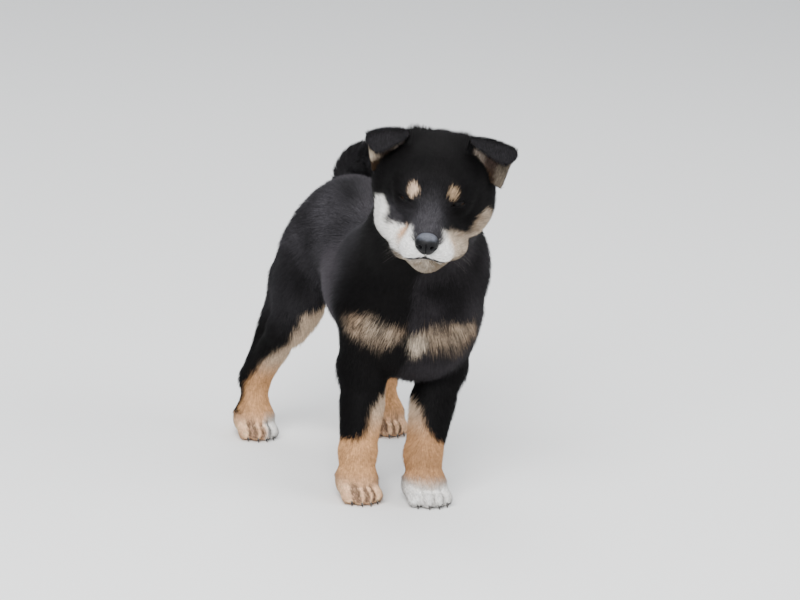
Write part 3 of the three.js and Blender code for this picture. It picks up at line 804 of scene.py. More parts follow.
    # legs: tan inside and in front, with black running down outside
    for name, s in sides.items():
        for leg in ["fore", "hind"]:
            mine = on(labels, f"{leg}_{name}")
            px, py = stance[name][leg]
            palest = (leg, name) == ("fore", "left")
            if leg == "fore":
                right = name == "right"
                outward = s * (x - px)
                heights = np.array([42, 48, 54, 63, 76, 85, 94]) + (0 if right else -1)
                reach = np.interp(z, heights, [28, 14, 4, 0, -3, -12, -28]) - (4 if right else 0)
                tan = reach - outward + 0.25 * (y - (py + 26))
            else:
                axisX = np.interp(z, [46, 100, 140], [px, {"right": -50, "left": 30}[name], s * 37 - 4])
                axisY = np.interp(z, [20, 46, 100], [py + 24, py + 27, 163])
                behind = s * 0.93 * (x - axisX) + 0.37 * (y - axisY)
                heights = [16, 22, 30, 46, 63, 79, 94, 108, 120, 130]
                tan = np.interp(z, heights, [30, 10, 6.5, 5, 3, 0, -6.5, -9, -13, -34]) - behind
            coat = edged(tan, rag, 3, 3) * mine
            low = smooth(27, 12, z)
            toeTint = tone.white if palest else tone.ginger * (1.6, 1.65, 1.75)
            if (leg, name) == ("hind", "right"):
                toeTint = mix(toeTint, tone.white, smooth(1, 6, x - px))
            # the left foreleg's tan is darker: painted shade, as that leg stands in shade
            shin = tone.tan * ((0.86, 0.8, 0.74) if palest else (1.15, 1.08, 0.98))
            paws = mix(shin, toeTint, low * 0.92)
            paws = mix(paws, tone.cream * 0.85, smooth(50, 80, z) * 0.75)
            rgb = mix(rgb, paws * (1 + 0.12 * n2)[:, None], coat)
            # dark pencil lines down the toes
            fan = spread[name][leg]
            if palest:
                lines = [(a * 7.6 * fan, 0.55) for a in (-1, 0, 1)]
            else:
                lines = [(a * 7.6 * fan + 0.6, 1.4) for a in (-1.5, -1, 0, 0.9)]
            mark = np.zeros(len(p))
            for at, wide in lines:
                mark = np.maximum(mark, smooth(wide + 0.7, wide - 0.5, np.abs(x - px - at) + rag * 0.7))
            mark *= smooth(22, 15, z) * smooth(1, 5, z) * smooth(py + 22, py + 13, y) * mine
            rgb = mix(rgb, tone.sheen * 2.5, mark * (0.55 if palest else 0.8))
    # tail: black with greyish locks, partly their own grey tips and partly painted sheen
    rgb = mix(rgb, tone.slate * 0.6, np.clip(0.3 + 0.4 * n1, 0, 1) * isTail)
    # ears: dark outside, with a brown lining, pale hair at its inner edge and tan at its outer edge
    for name in sides:
        mine = on(labels, f"ear_{name}")
        if not mine.any():
            continue
        index, above = earLookup(name, p[mine])
        sheet = earSheets[name]
        inner = smooth(0.0, 0.7, above)
        v, reach = sheet["v"][index], sheet["reach"][index]
        hairy = smooth(-0.1, 0.35, v + n1[mine] * 0.15) * smooth(0.85, 0.6, v)
        lining = mix(tone.earLining, tone.earHair, hairy)
        lining = mix(lining, tone.black, smooth(0.6, 0.85, v))
        rim = smooth(-0.45, -0.9, v + n2[mine] * 0.15) * smooth(0.62, 0.4, reach)
        if name == "right":
            rim = rim * smooth(0.08, 0.16, reach) * smooth(0.36, 0.24, reach)
            lining = mix(lining, tone.black, smooth(0.16, 0.06, reach))
        lining = mix(lining, tone.cream * (0.7 if name == "right" else 0.22), rim)
        shade = smooth(0.22, 0.06, reach) * smooth(0.4, -0.2, v) * (1 - rim)
        lining = mix(lining, tone.tan * 0.05, shade)
        # painted shade: the lining on the flap's underside, past the fold, is darker
        lining = mix(lining, tone.earLining * 0.6, smooth(0.62, 0.75, reach))
        # painted sheen: the outside of the flap lighter grey where it folds over
        outside = smooth(0.5, 0.75, reach + 0.15 * n1[mine]) * (1 - inner) * 0.6
        rgb[mine] = mix(rgb[mine], tone.slate * 0.5, outside)
        rgb[mine] = mix(rgb[mine], lining, inner)
    return rgb


baseTint = marked(skinPoints, label)
print("markings set")


# Materials.
def material(name, **values):
    # a material, what adds a node to it, what links two nodes, and its shader
    made = bpy.data.materials.new(name)
    made.use_nodes = True
    nodes, links = made.node_tree.nodes, made.node_tree.links
    shader = nodes["Principled BSDF"]
    for key, value in values.items():
        shader.inputs[key].default_value = value

    def add(kind, **settings):
        node = nodes.new("ShaderNode" + kind)
        for key, value in settings.items():
            if key in node.inputs:
                node.inputs[key].default_value = value
            else:
                setattr(node, key, value)
        return node

    def link(a, output, b, entry):
        links.new(a.outputs[output], b.inputs[entry])

    return made, add, link, shader


def rampOf(add, stops):
    # a colour ramp through these places and colours
    ramp = add("ValToRGB")
    elements = ramp.color_ramp.elements
    for i, (at, rgb) in enumerate([stops[0], stops[-1]]):
        elements[i].position, elements[i].color = at, (*rgb, 1)
    for at, rgb in stops[1:-1]:
        elements.new(at).color = (*rgb, 1)
    return ramp


def coatMaterial(name, roughness, sheen, bump, scale, specular=0.05):
    # the colour comes from the mesh, broken up by fine noise
    values = {"Roughness": roughness, "Sheen Weight": sheen, "Sheen Roughness": 0.5}
    made, add, link, shader = material(name, **values, **{"Specular IOR Level": specular})
    tint = add("Attribute", attribute_name="tint")
    noise = add("TexNoise", Scale=scale, Detail=4.0, Roughness=0.6)
    link(add("TexCoord"), "Object", noise, "Vector")
    ramp = add("MapRange", **{"From Min": 0.3, "From Max": 0.7, "To Min": 0.72, "To Max": 1.22})
    link(noise, "Fac", ramp, "Value")
    scaled = add("VectorMath", operation="SCALE")
    link(tint, "Color", scaled, 0)
    link(ramp, "Result", scaled, "Scale")
    link(scaled, "Vector", shader, "Base Color")
    height = add("Bump", Strength=bump, Distance=0.0006)
    link(noise, "Fac", height, "Height")
    link(height, "Normal", shader, "Normal")
    return made


finishes = {
    "skin": coatMaterial("puppySkin", 0.85, 0.0, 0.6, 900),
    "coat": coatMaterial("puppyCoat", 0.55, 0.01, 0.15, 450),
}


def inScene(name, data):
    made = bpy.data.objects.new(name, data)
    bpy.context.scene.collection.objects.link(made)
    return made


def pieceOf(mesh, look):
    mesh.materials.append(look)
    piece = inScene(mesh.name, mesh)
    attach(piece, "root")
    return piece


def addMesh(name, points, faces, look, tint=None, normals=None):
    # a piece from points in millimetres and faces that all have as many corners
    mesh = bpy.data.meshes.new(name)
    faces = np.asarray(faces)
    size = faces.shape[1]
    mesh.vertices.add(len(points))
    mesh.vertices.foreach_set("co", metres(points).astype(np.float32).ravel())
    mesh.loops.add(faces.size)
    mesh.loops.foreach_set("vertex_index", faces.astype(np.int32).ravel())
    mesh.polygons.add(len(faces))
    mesh.polygons.foreach_set("loop_start", np.arange(0, faces.size, size, dtype=np.int32))
    mesh.update(calc_edges=True)
    mesh.validate()
    mesh.polygons.foreach_set("use_smooth", np.ones(len(mesh.polygons), bool))
    if tint is not None:
        layer = mesh.attributes.new("tint", "FLOAT_COLOR", "POINT")
        rgba = np.ones((len(points), 4), np.float32)
        rgba[:, :3] = tint
        layer.data.foreach_set("color", rgba.ravel())
    if normals is not None:
        mesh.normals_split_custom_set_from_vertices(normals.astype(np.float32).tolist())
    return pieceOf(mesh, look)


fleshNodes = ["neck", "chest", "rump", "tail", "head", "ear_right", "ear_left"]
for side in sides:
    fleshNodes += [f"forearm_{side}", f"forepaw_{side}", f"shank_{side}", f"hindpaw_{side}"]
# the skin takes the coat's colours darkened by 0.72: painted shade under the coat
skin = addMesh("skin", skinPoints, skinQuads, finishes["skin"], baseTint * 0.72, skinNormals)
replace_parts(skin, *fleshNodes)
print("skin made:", len(skinQuads) * 2, "triangles")


# How wide, lifted, dense, ruffled and gathered the tufts are where each part's coat grows.
coat = {
    "head": {"wide": 0.55, "lift": 23, "dense": 2.6, "wild": 0.14, "clump": 0.05},
    "cheek": {"wide": 0.62, "lift": 34, "dense": 2.3, "wild": 0.2, "clump": 0.15},
    "neck": {"wide": 0.85, "lift": 38, "dense": 1.75, "wild": 0.24, "clump": 0.15},
    "trunk": {"wide": 0.8, "lift": 32, "dense": 1.75, "wild": 0.2, "clump": 0.15},
    "leg": {"wide": 0.62, "lift": 25, "dense": 2.1, "wild": 0.15, "clump": 0.08},
    "paw": {"wide": 0.5, "lift": 17, "dense": 2.8, "wild": 0.1, "clump": 0.03},
    "tail": {"wide": 1.0, "lift": 42, "dense": 3.0, "wild": 0.3, "clump": 0.35},
    "ear": {"wide": 0.5, "lift": 20, "dense": 2.8, "wild": 0.14, "clump": 0.03},
}
thin = 1.0


def coatValues(p, labels):
    # every coat value at each point, with the parts blended where they meet
    h = toHead(p)
    n = len(p)
    out = {}
    cheek = smooth(24, 38, np.abs(h[:, 0])) * smooth(-46, -24, h[:, 1]) * smooth(6, -10, h[:, 2])
    cheek = np.maximum(cheek, smooth(-28, -44, h[:, 2]) * smooth(-50, -28, h[:, 1]))
    cheek = np.maximum(cheek, smooth(-4, 24, h[:, 1]) * 0.7)
    neck = smooth(60, 25, p[:, 1]) * smooth(120, 170, p[:, 2])
    paw = smooth(34, 16, p[:, 2])
    upper = smooth(80, 125, p[:, 2])
    isHead, isTrunk, isTail, isEar = (on(labels, name) for name in ["head", "trunk", "tail", "ear"])
    isLeg = on(labels, "fore", "hind")
    for key in ["wide", "lift", "dense", "wild", "clump"]:
        value = np.zeros(n)
        value[isHead] = mix(coat["head"][key], coat["cheek"][key], cheek[isHead])
        value[isTrunk] = mix(coat["trunk"][key], coat["neck"][key], neck[isTrunk])
        leg = mix(coat["leg"][key], coat["paw"][key], paw[isLeg])
        value[isLeg] = mix(leg, coat["trunk"][key], upper[isLeg])
        value[isTail] = coat["tail"][key]
        value[isEar] = coat["ear"][key]
        out[key] = value
    depth = np.zeros(n)
    depth[isHead] = headDepth(h[isHead])
    depth[isTrunk] = trunkDepth(p[isTrunk])
    depth[isLeg] = legDepth(p[isLeg])
    depth[isTail] = coatDepth["tail"]
    depth[isEar] = coatDepth["ear"]
    out["depth"] = depth
    return out


def rooted():
    # roots spread evenly by area and density over the skin, each with the skin's values there
    corners = skinPoints[skinQuads]
    diagonals = corners[:, 2] - corners[:, 0], corners[:, 3] - corners[:, 1]
    area = np.linalg.norm(np.cross(*diagonals), axis=1) / 2
    middle = corners.mean(1)
    faceLabel = label[skinQuads[:, 0]]
    dense = coatValues(middle, faceLabel)["dense"]
    h = toHead(middle)
    bare = np.zeros(len(middle), bool)
    bareHalf = 6.6  # across the eye
    for side, s in sides.items():
        across, up, out = ((h - mirrored(eyeSpot, s)) @ eyeFrames[side]).T
        upper, lower = almondEdge(np.clip(across / bareHalf, -1, 1))
        bare |= (np.abs(across) < bareHalf) & (up < upper + 0.7) & (up > lower - 0.6) & (out > 0)
    bare |= egg(noseSpot, (9.8, 7.6, 8))(h) < 0
    dense = np.where(bare | (middle[:, 2] < 1.5), 0, dense)
    amount = np.cumsum(area * dense * thin)
    count = int(amount[-1])
    draw = (np.arange(count) + random.random(count)) * (amount[-1] / count)
    face = np.searchsorted(amount, draw).clip(0, len(skinQuads) - 1)
    s, t = random.random((2, count, 1))
    ways = [(1 - s) * (1 - t), s * (1 - t), s * t, (1 - s) * t]
    blend = lambda values: sum(w * values[skinQuads[face, i]] for i, w in enumerate(ways))
    return blend(skinPoints), unit(blend(skinNormals)), unit(blend(lies)), faceLabel[face]


def clumped(roots, tips, strength, every=22):
    # tips lean towards the tip of the nearest clump's middle
    picks = np.arange(0, len(roots), every)
    tree = KDTree(len(picks))
    for i, point in enumerate(roots[picks].tolist()):
        tree.insert(point, i)
    tree.balance()
    near = np.array([tree.find(point)[1] for point in roots.tolist()])
    centre = tips[picks][near]
    off = centre - tips
    size = np.linalg.norm(off, axis=1, keepdims=True)
    return tips + off * np.minimum(1, 5 / np.maximum(size, 1e-6)) * strength[:, None]


def tuftShapes(roots, normals, flow, values, bent):
    # the points of each tuft: a flattened three-sided spike, with one bend where bent
    n = len(roots)
    lift = np.radians(values["lift"] * random.uniform(0.75, 1.25, n))[:, None]
    length = (values["depth"] / np.sin(lift[:, 0]) * random.uniform(0.82, 1.12, n))[:, None]
    length = np.clip(length, 1.8, 17)
    wide = (values["wide"] * random.uniform(0.7, 1.25, n))[:, None]
    first = unit(flow * np.cos(lift) + normals * np.sin(lift))
    later = unit(flow * np.cos(lift * 0.45) + normals * np.sin(lift * 0.45))
    middle = roots + first * length * 0.5
    tips = middle + later * length * 0.5
    tips = clumped(roots, tips, values["clump"] * random.uniform(0.5, 1.3, n))
    middle = middle + (tips - middle - later * length * 0.5) * 0.35
    base = roots - first * 0.7
    across = unit(np.cross(normals, first))
    ridge = unit(np.cross(first, across))
    angle = random.uniform(-0.5, 0.5, n)[:, None]
    cos, sin = np.cos(angle), np.sin(angle)
    across, ridge = across * cos + ridge * sin, ridge * cos - across * sin
    section = [across * 0.5 - ridge * 0.16, -across * 0.5 - ridge * 0.16, ridge * 0.34]
    rings = [base + part * wide for part in section]
    if bent:
        rings += [middle + part * wide * 0.8 for part in section]
    return np.stack(rings + [tips], 1), section


spike = np.array([(1, 0, 3), (2, 1, 3), (0, 2, 3), (0, 1, 2)])
bentSpike = np.array(
    [(1, 0, 3), (1, 3, 4), (2, 1, 4), (2, 4, 5), (0, 2, 5), (0, 5, 3)]
    + [(4, 3, 6), (5, 4, 6), (3, 5, 6), (0, 1, 2)]
)


def chartOf(region, roots, normals):
    # each root's place on an unwrap of the skin's own shape, from 0 to 1 both ways
    if region == "head":
        h = unit(toHead(roots) - np.array([0, -6, -8]))
        u, v = np.arctan2(h[:, 0], -h[:, 1]), h[:, 2]
    elif region == "trunk":
        u, v = np.arctan2(roots[:, 0] - 2, roots[:, 2] - 150), roots[:, 1] + 0.4 * roots[:, 2]
    elif region == "tail":
        index = nearTail(roots)
        off = roots - tailLine[index]
        u, v = np.arctan2(off[:, 0], (off * np.cross(tailAlong[index], [1, 0, 0])).sum(1)), index + 0.0
        v = v + (off * tailAlong[index]).sum(1) * 0.2
    elif region.startswith("ear"):
        index, _ = earLookup(region[4:], roots)
        sheet = earSheets[region[4:]]
        inner = (normals * sheet["facing"][index]).sum(1) > 0
        u = sheet["v"][index] * 0.45 + np.where(inner, 0.5, -0.5) + (roots[:, 0] % 1) * 0.03
        v = sheet["reach"][index] + (roots[:, 2] % 1) * 0.02
    else:
        leg, name = region.split("_")
        px, py = stance[name][leg]
        lean = np.interp(roots[:, 2], [0, 50, 140], [py + 22, py + 29, 40 if leg == "fore" else 160])
        x, y = roots[:, 0] - px, roots[:, 1] - lean
        u, v = np.arctan2(x, y), roots[:, 2] - 0.3 * np.hypot(x, y)
    uv = np.stack([u, v], 1)
    low, high = np.percentile(uv, 0.1, axis=0), np.percentile(uv, 99.9, axis=0)
    return 0.02 + 0.96 * np.clip((uv - low) / (high - low), 0, 1)


patch = 0.003  # how wide a tuft's colours lie on the unwrap
shortPatch = np.array([(0, 0), (1, 0), (0.5, 0.6), (0.5, 1)]) * patch
longPatch = np.array([(0, 0), (1, 0), (0.5, 0.15), (0.05, 0.6), (0.95, 0.6), (0.5, 0.7), (0.5, 1)]) * patch


def tufted(region, roots, normals, flow, labels, bent, pieces):
    # one region's coat as joined meshes
    values = coatValues(roots, labels)
    waves = np.stack([lattice(roots, 9, 5 + a) for a in range(3)], 1)
    wild = waves * 1.1 + random.normal(0, 1, roots.shape) * 0.6
    flow = unit(flow + wild * values["wild"][:, None])
    flow = unit(flow - normals * (flow * normals).sum(1, keepdims=True))
    shapes, section = tuftShapes(roots, normals, flow, values, bent)
    n, per = shapes.shape[:2]
    shapes[:, :, 2] = np.maximum(shapes[:, :, 2], 0.4)
    stray = np.where(on(labels, "ear"), 0.1, 0.7)[:, None]
    tint = marked(roots + random.normal(0, 1, roots.shape) * stray, labels)
    tint = tint * random.lognormal(0, 0.16, n)[:, None]
    # each tuft is darker at the root, as the undercoat is, and lighter at the tip; dark tufts' tips are
    # lighter still and browner, a painted sheen
    pale = tint.max(1) > 0.12
    rootward = np.where(pale, 0.82, 0.8)[:, None]
    tipward = np.where(pale, 1.12, 1.25)[:, None]
    tipTint = tint * tipward + np.where(pale, 0.0, 0.0012)[:, None] * np.array([1.0, 0.85, 0.8])
    if bent:
        tints = [tint * rootward] * 3 + [tint] * 3 + [tipTint]
    else:
        tints = [tint * rootward] * 3 + [tipTint]
    tints = np.clip(np.stack(tints, 1), 0, 0.94)
    sides3 = [unit(part) for part in section]
    bow = [unit(normals * 0.75 + part * 0.55) for part in sides3]
    shade = np.stack(bow + (bow if bent else []) + [normals], 1)
    uv = chartOf(region, roots, normals)
    local = longPatch if bent else shortPatch
    faces = bentSpike if bent else spike
    uvAll = np.clip(uv[:, None, :] + local[None] - patch / 2, 0.001, 0.999)
    order = np.argsort(uv[:, 1], kind="stable")
    for number, chosen in enumerate(np.array_split(order, pieces)):
        name = f"coat_{region}" if pieces == 1 else f"coat_{region}_{number + 1}"
        count = len(chosen)
        allFaces = (faces[None] + (np.arange(count) * per)[:, None, None]).reshape(-1, 3)
        piece = addMesh(
            name, shapes[chosen].reshape(-1, 3), allFaces, finishes["coat"],
            tints[chosen].reshape(-1, 3), shade[chosen].reshape(-1, 3),
        )
        layer = piece.data.uv_layers.new(name="OFBake")
        loops = uvAll[chosen].reshape(-1, 2)[allFaces.ravel()]
        layer.data.foreach_set("uv", loops.astype(np.float32).ravel())
    return n * len(faces)


roots, rootNormals, rootLies, rootLabels = rooted()
mostTriangles = 180000  # in one piece of the coat
triangles = 0
for region in partNames:
    mine = on(rootLabels, region)
    bent = region == "tail"
    pieces = 1 + int(mine.sum()) * (10 if bent else 4) // mostTriangles
    grown = (values[mine] for values in (roots, rootNormals, rootLies, rootLabels))
    triangles += tufted(region, *grown, bent, pieces)
print("coat:", len(roots), "tufts,", triangles, "triangles")


# Eyes: dark brown irises with wide pupils under a clear bulging cornea.
eye = {"radius": 7.7, "iris": 5.6, "bulge": 0.45, "gazeOut": 6, "gazeUp": 4, "rows": 40, "columns": 56}


def eyeMaterial():
    values = {"Roughness": 0.08, "Coat Weight": 0.03, "Coat Roughness": 0.02, "Specular IOR Level": 0.09}
    made, add, link, shader = material("puppyEye", **values)
    noise = add("TexNoise", Scale=1.0, Detail=3.0)
    link(add("Attribute", attribute_name="aroundPupil"), "Vector", noise, "Vector")
    streak = add("Math", operation="MULTIPLY_ADD")
    streak.inputs[1].default_value = 0.9
    link(noise, "Fac", streak, 0)
    link(add("Attribute", attribute_name="fromPupil"), "Fac", streak, 2)
    scale = add("Math", operation="DIVIDE")
    scale.inputs[1].default_value = 10
    link(streak, 0, scale, 0)
    ramp = rampOf(add, [
        (0.0, (0.0008, 0.0008, 0.001)), (0.31, (0.0008, 0.0008, 0.0008)), (0.36, (0.008, 0.004, 0.002)),
        (0.50, (0.013, 0.006, 0.003)), (0.60, (0.004, 0.002, 0.0015)), (0.70, (0.012, 0.008, 0.007)),
        (0.95, (0.10, 0.07, 0.06)),
    ])
    link(scale, 0, ramp, "Fac")
    link(ramp, "Color", shader, "Base Color")
    return made


def eyeball(side):
    s = sides[side]
    theta = np.linspace(0, math.pi, eye["rows"] + 1)[1:-1]
    phi = np.arange(eye["columns"]) / eye["columns"] * 2 * math.pi
    tt, pp = np.meshgrid(theta, phi, indexing="ij")
    tt, pp = tt.ravel(), pp.ravel()
    directions = np.stack([np.sin(tt) * np.cos(pp), np.sin(tt) * np.sin(pp), np.cos(tt)], 1)
    directions = np.vstack([[0, 0, 1.0], directions, [0, 0, -1.0]])
    off = np.linalg.norm(directions[:, :2], axis=1) * eye["radius"]
    off = np.where(directions[:, 2] < 0, 10, off)
    size = eye["radius"] + eye["bulge"] * smooth(eye["iris"], 1.5, off)
    aside, raised = (math.tan(math.radians(eye[key])) for key in ("gazeOut", "gazeUp"))
    gaze = unit(np.array([s * aside, -1, raised]))
    right = unit(np.cross(gaze, [0, 0, 1.0]))
    axes = np.stack([right, np.cross(gaze, right), gaze], 1)
    points = fromHead((directions * size[:, None]) @ axes.T + mirrored(eyeSpot, s))
    rows, columns = eye["rows"] - 1, eye["columns"]
    faces = []
    for row in range(rows - 1):
        for column in range(columns):
            a = 1 + row * columns + column
            b = 1 + row * columns + (column + 1) % columns
            faces.append((a, a + columns, b + columns, b))
    mesh = bpy.data.meshes.new(f"eyeball_{side}")
    last = len(points) - 1
    for column in range(columns):
        after = (column + 1) % columns
        faces.append((0, 1 + column, 1 + after))
        faces.append((last, last - columns + after, last - columns + column))
    mesh.from_pydata(metres(points).tolist(), [], faces)
    mesh.validate()
    mesh.polygons.foreach_set("use_smooth", np.ones(len(mesh.polygons), bool))
    mesh.attributes.new("fromPupil", "FLOAT", "POINT").data.foreach_set("value", off.astype(np.float32))
    around = unit(directions * (1, 1, 0)) * 9
    layer = mesh.attributes.new("aroundPupil", "FLOAT_VECTOR", "POINT")
    layer.data.foreach_set("vector", around.astype(np.float32).ravel())
    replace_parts(pieceOf(mesh, finishes["eye"]), f"eye_{side}")


def tube(points, radii, around=8):
    # a closed tapered tube along points
    points = np.asarray(points, float)
    radii = np.broadcast_to(radii, len(points))
    along = unit(np.gradient(points, axis=0))
    side = unit(np.cross(along[0], [0.3, 0.2, 0.9]))
    rings = []
    for p, a, r in zip(points, along, radii):
        side = unit(side - a * (side @ a))
        other = np.cross(a, side)
        angle = np.arange(around) / around * 2 * math.pi
        rings.append(p + r * (np.cos(angle)[:, None] * side + np.sin(angle)[:, None] * other))
    verts = np.vstack(rings + [points[:1], points[-1:]])
    faces = []
    for i in range(len(points) - 1):
        for j in range(around):
            a, b = i * around + j, i * around + (j + 1) % around
            faces += [(a, b, b + around), (a, b + around, a + around)]
    first, last = len(verts) - 2, len(verts) - 1
    top = (len(points) - 1) * around
    for j in range(around):
        after = (j + 1) % around
        faces += [(first, after, j), (last, top + j, top + after)]
    return verts, np.array(faces)


def joinedTubes(tubes):
    verts, faces, start = [], [], 0
    for v, f in tubes:
        verts.append(v)
        faces.append(f + start)
        start += len(v)
    return np.vstack(verts), np.vstack(faces)


def darkMaterial(name, rgb, roughness, scale, bump, coatWeight=0.0, specular=0.4):
    uneven = 0.35
    values = {"Roughness": roughness, "Coat Weight": coatWeight, "Coat Roughness": 0.2}
    made, add, link, shader = material(name, **values, **{"Specular IOR Level": specular})
    coords = add("TexCoord")
    noise = add("TexNoise", Scale=scale, Detail=5.0)
    link(coords, "Object", noise, "Vector")
    ramp = rampOf(add, [(0.3, [c * (1 - uneven) for c in rgb]), (0.7, [c * (1 + uneven) for c in rgb])])
    link(noise, "Fac", ramp, "Fac")
    link(ramp, "Color", shader, "Base Color")
    cells = add("TexVoronoi", Scale=scale * 2.0)
    link(coords, "Object", cells, "Vector")
    height = add("Bump", Strength=bump, Distance=0.0003)
    link(cells, "Distance", height, "Height")
    link(height, "Normal", shader, "Normal")
    return made


finishes["eye"] = eyeMaterial()
finishes["nose"] = coatMaterial("noseLeather", 0.42, 0.0, 0.5, 1400, 0.14)
finishes["lid"] = darkMaterial("lidRim", (0.003, 0.0026, 0.0026), 0.5, 900, 0.3, 0.0, 0.08)
finishes["lip"] = darkMaterial("lipEdge", (0.008, 0.006, 0.006), 0.45, 900, 0.3, 0.05, 0.15)
finishes["claw"] = darkMaterial("clawHorn", (0.02, 0.016, 0.014), 0.35, 500, 0.2, 0.2)
finishes["whisker"] = darkMaterial("whiskerHair", (0.10, 0.09, 0.08), 0.5, 300, 0.1)

for side in sides:
    eyeball(side)


def lidRim(side):
    # the dark bare edge of both lids, lying on the eyeball round its opening
    s = sides[side]
    angle = np.linspace(0, 2 * math.pi, 65)[:-1]
    u = np.cos(angle)
    upper, lower = almondEdge(u * 0.98)
    v = np.where(np.sin(angle) >= 0, upper, lower)
    x = u * eyeOpening["halfWidth"]
    size = eyeRadius + 0.45
    z = np.sqrt(np.maximum(size**2 - x**2 - v**2, 0))
    local = np.stack([x, v, z], 1) @ eyeFrames[side].T + mirrored(eyeSpot, s)
    loop = np.vstack([local, local[:1]])
    verts, faces = tube(fromHead(loop), 0.55, 8)
    addMesh(f"lid_rim_{side}", verts, faces, finishes["lid"])


for side in sides:
    lidRim(side)


# Nose: a leathery pad with two comma-shaped nostrils and a groove down its middle.
nosePad = {
    "radii": (8.6, 6.3, 6.7), "stem": (5.4, 4.6, 4.2), "nostril": (1.8, 3.6, 1.4), "apart": 5.0, "step": 0.35,
    # leather is the pad's own colour; top is a painted highlight where the pad faces up
    "leather": (0.0028, 0.0028, 0.0034), "top": (0.085, 0.09, 0.108),
}


def noseField(h):
    y, z = noseSpot[1], noseSpot[2]
    pad = soften(egg(noseSpot, nosePad["radii"])(h), egg((0, y + 1.6, z - 4.4), nosePad["stem"])(h), 2.5)
    pad = soften(pad, egg((0, y + 4, z + 1.6), (7.6, 7, 5.6))(h), 3)
    for s in sides.values():
        near = (h - (s * nosePad["apart"], y - 5.8, z - 0.8)) @ turn("z", s * 30)
        hole = egg((0, 0, 0), nosePad["nostril"])(near)
        slot = limb((s * 5.5, y - 4.5, z - 1.2), 1.1, (s * 9.5, y - 1, z - 2.6), 0.5)(h)
        pad = carved(pad, np.minimum(hole, slot), 1.0)
    groove = np.maximum(np.abs(h[:, 0]) - 0.2, -(pad + 0.9))
    groove = np.maximum(groove, h[:, 2] - (z + 1.5))
    return carved(pad, groove, 0.8)


def makeNose():
    step = nosePad["step"] * 1
    box = [(-12.5, 12.5), (-86, -62), (-31, -4)]
    points, quads = gridNet(noseField, [np.arange(a, b, step) for a, b in box], 4, 1.6)
    points, normals = settled(noseField, points, 0.1, 0.2)
    grain = lattice(points, 0.9, 8) * 0.06
    points = points + normals * grain[:, None]
    # painted highlight: paler where the pad turns up towards the light
    up = smooth(0.45, 0.9, normals[:, 2] + 0.1 * lattice(points, 2.0, 9))
    up = up * smooth(-1.5, 2.5, points[:, 2] - noseSpot[2])
    tint = mix(np.array(nosePad["leather"]), np.array(nosePad["top"]), up)
    piece = addMesh("nose_pad", fromHead(points), quads, finishes["nose"], tint)
    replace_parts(piece, "nose")


makeNose()


def makeLips():
    # the dark edge of the lips along the line of the mouth
    x = np.linspace(-mouth["half"], mouth["half"], 61)
    line = []
    for value in x:
        y = np.linspace(-85, -38, 400)
        z = mouthHeight(np.full(400, value), y) - 0.1
        d = skull(np.stack([np.full(400, value), y, z], 1)) + coatDepth["muzzle"] * 0.45
        inside = np.flatnonzero(d < 0)
        if len(inside):
            line.append((value, y[inside[0]], z[inside[0]]))
    line = np.array(line)
    radius = np.interp(np.abs(line[:, 0]), [0, 9, 14], [0.75, 0.65, 0.3])
    verts, faces = tube(fromHead(line + (0, 0.5, 0)), radius, 8)
    addMesh("lip_line", verts, faces, finishes["lip"])


makeLips()

claws = {"long": 4.4, "wide": 1.3, "height": 4.2}


def makeClaws(leg, side):
    px, py = stance[side][leg]
    made = []
    fan = spread[side][leg]
    for across, back in toes:
        t = np.linspace(0, 1, 9)
        x = px + across * fan * 7.7 + across * 0.3 * t
        y = py + back + 2.6 - claws["long"] * 0.75 * t
        z = claws["height"] + 0.5 - 1.2 * t - 2.9 * t * t
        radius = claws["wide"] * np.sqrt(1 - t * 0.93)
        made.append(tube(np.stack([x, y, z], 1), radius, 10))
    verts, faces = joinedTubes(made)
    verts[:, 2] = np.maximum(verts[:, 2], 0.15)
    addMesh(f"claws_{leg}paw_{side}", verts, faces, finishes["claw"])


for side in sides:
    for leg in ["fore", "hind"]:
        makeClaws(leg, side)

whiskers = {"rows": 3, "each": 5, "long": 22, "thick": 0.07}


def makeWhiskers():
    made = []
    for s in sides.values():
        for row in range(whiskers["rows"]):
            for i in range(whiskers["each"]):
                root = np.array([s * (12.5 + i * 1.3), -64 + i * 4.2, -21 - row * 3.3])
                way = np.array([s * 1.0, 0.1 + 0.12 * i, -0.12 - 0.16 * row])
                out = unit(way + random.normal(0, 0.08, 3))
                long = whiskers["long"] * random.uniform(0.7, 1.1)
                t = np.linspace(0, 1, 9)[:, None]
                droop = np.array([0, 0.25, -0.35]) * long * t**2
                path = root + out * long * t * 0.9 + droop
                made.append(tube(fromHead(path), whiskers["thick"] * (1 - 0.85 * t[:, 0]), 5))
    verts, faces = joinedTubes(made)
    addMesh("whiskers", verts, faces, finishes["whisker"])


makeWhiskers()
print("eyes, nose, lips, claws and whiskers made")

# The floor, the light and the camera.
studio = {"floor": (0.80, 0.80, 0.79), "size": 6.0, "sky": (0.86, 0.90, 0.96), "skyStrength": 0.75}


def makeFloor():
    made, add, link, shader = material("studioFloor", Roughness=0.75)
    noise = add("TexNoise", Scale=3.0)
    ramp = rampOf(add, [(0, [c * 0.98 for c in studio["floor"]]), (1, studio["floor"])])
    link(noise, "Fac", ramp, "Fac")
    link(ramp, "Color", shader, "Base Color")
    corners = [(x * studio["size"], y * studio["size"], 0) for x, y in ((-1, -1), (1, -1), (1, 1), (-1, 1))]
    mesh = bpy.data.meshes.new("floor")
    mesh.from_pydata(corners, [], [(0, 1, 2, 3)])
    mesh.materials.append(made)
    inScene("floor", mesh)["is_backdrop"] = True


makeFloor()

lights = {
    "key": {"place": (-1.3, -1.8, 2.0), "size": 1.8, "power": 168},
    "fill": {"place": (1.9, -1.4, 1.2), "size": 2.2, "power": 56},
    "top": {"place": (0.2, 0.7, 2.5), "size": 1.8, "power": 42},
}


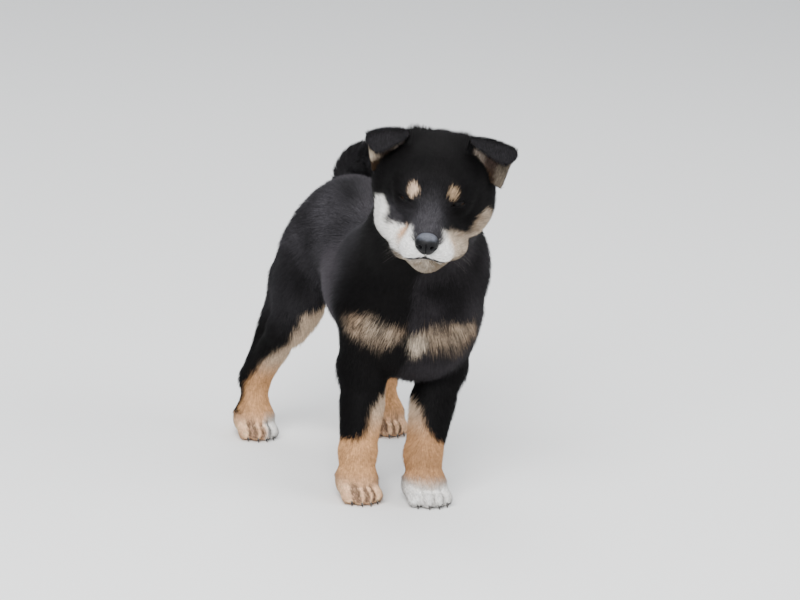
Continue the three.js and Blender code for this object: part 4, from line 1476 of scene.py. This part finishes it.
def makeLights():
    middle = Vector((0, 0, 0.16))
    for name, values in lights.items():
        data = bpy.data.lights.new(name, "AREA")
        data.energy = values["power"]
        data.size = values["size"]
        lamp = inScene(name, data)
        lamp.location = values["place"]
        lamp.rotation_euler = (middle - Vector(values["place"])).to_track_quat("-Z", "Y").to_euler()
    world = bpy.data.worlds.new("studioWorld")
    world.use_nodes = True
    sky = world.node_tree.nodes["Background"].inputs
    sky["Color"].default_value = (*studio["sky"], 1)
    sky["Strength"].default_value = studio["skyStrength"]
    bpy.context.scene.world = world


makeLights()

# The photograph's view: the ground under this spot lies at this pixel of an 800 by 600 picture.
view = {
    "azimuth": -22, "elevation": 14, "roll": 4, "distance": 3000, "focal": 4020,
    "anchor": (-44, 0, 0), "pixel": (357, 505), "width": 800, "height": 600,
}


def makeCamera():
    a, e, r = (math.radians(view[key]) for key in ("azimuth", "elevation", "roll"))
    back = np.array([math.sin(a) * math.cos(e), -math.cos(a) * math.cos(e), math.sin(e)])
    right = np.array([math.cos(a), math.sin(a), 0])
    up = np.cross(back, right)
    across = right * math.cos(r) + up * math.sin(r)
    raised = -right * math.sin(r) + up * math.cos(r)
    place = np.array([0, 0, 150.0]) + back * view["distance"]
    for _ in range(8):
        away = np.array(view["anchor"]) - place
        depth = -(away @ back)
        pixelX = view["width"] / 2 + view["focal"] * (away @ across) / depth
        pixelY = view["height"] / 2 - view["focal"] * (away @ raised) / depth
        place = place + across * (pixelX - view["pixel"][0]) * depth / view["focal"]
        place = place - raised * (pixelY - view["pixel"][1]) * depth / view["focal"]
    data = bpy.data.cameras.new("camera")
    data.sensor_width = 36
    data.lens = view["focal"] / view["width"] * 36
    data.clip_end = 50
    camera = inScene("camera", data)
    rows = np.column_stack([across, raised, back, metres(place)])
    camera.matrix_world = Matrix([*rows.tolist(), (0, 0, 0, 1)])
    bpy.context.scene.camera = camera


makeCamera()
plain = lambda box: [[float(v) for v in corner] for corner in box]
{"cad": plain(cadBox), "visual": plain(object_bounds())}
print("camera and lights set")
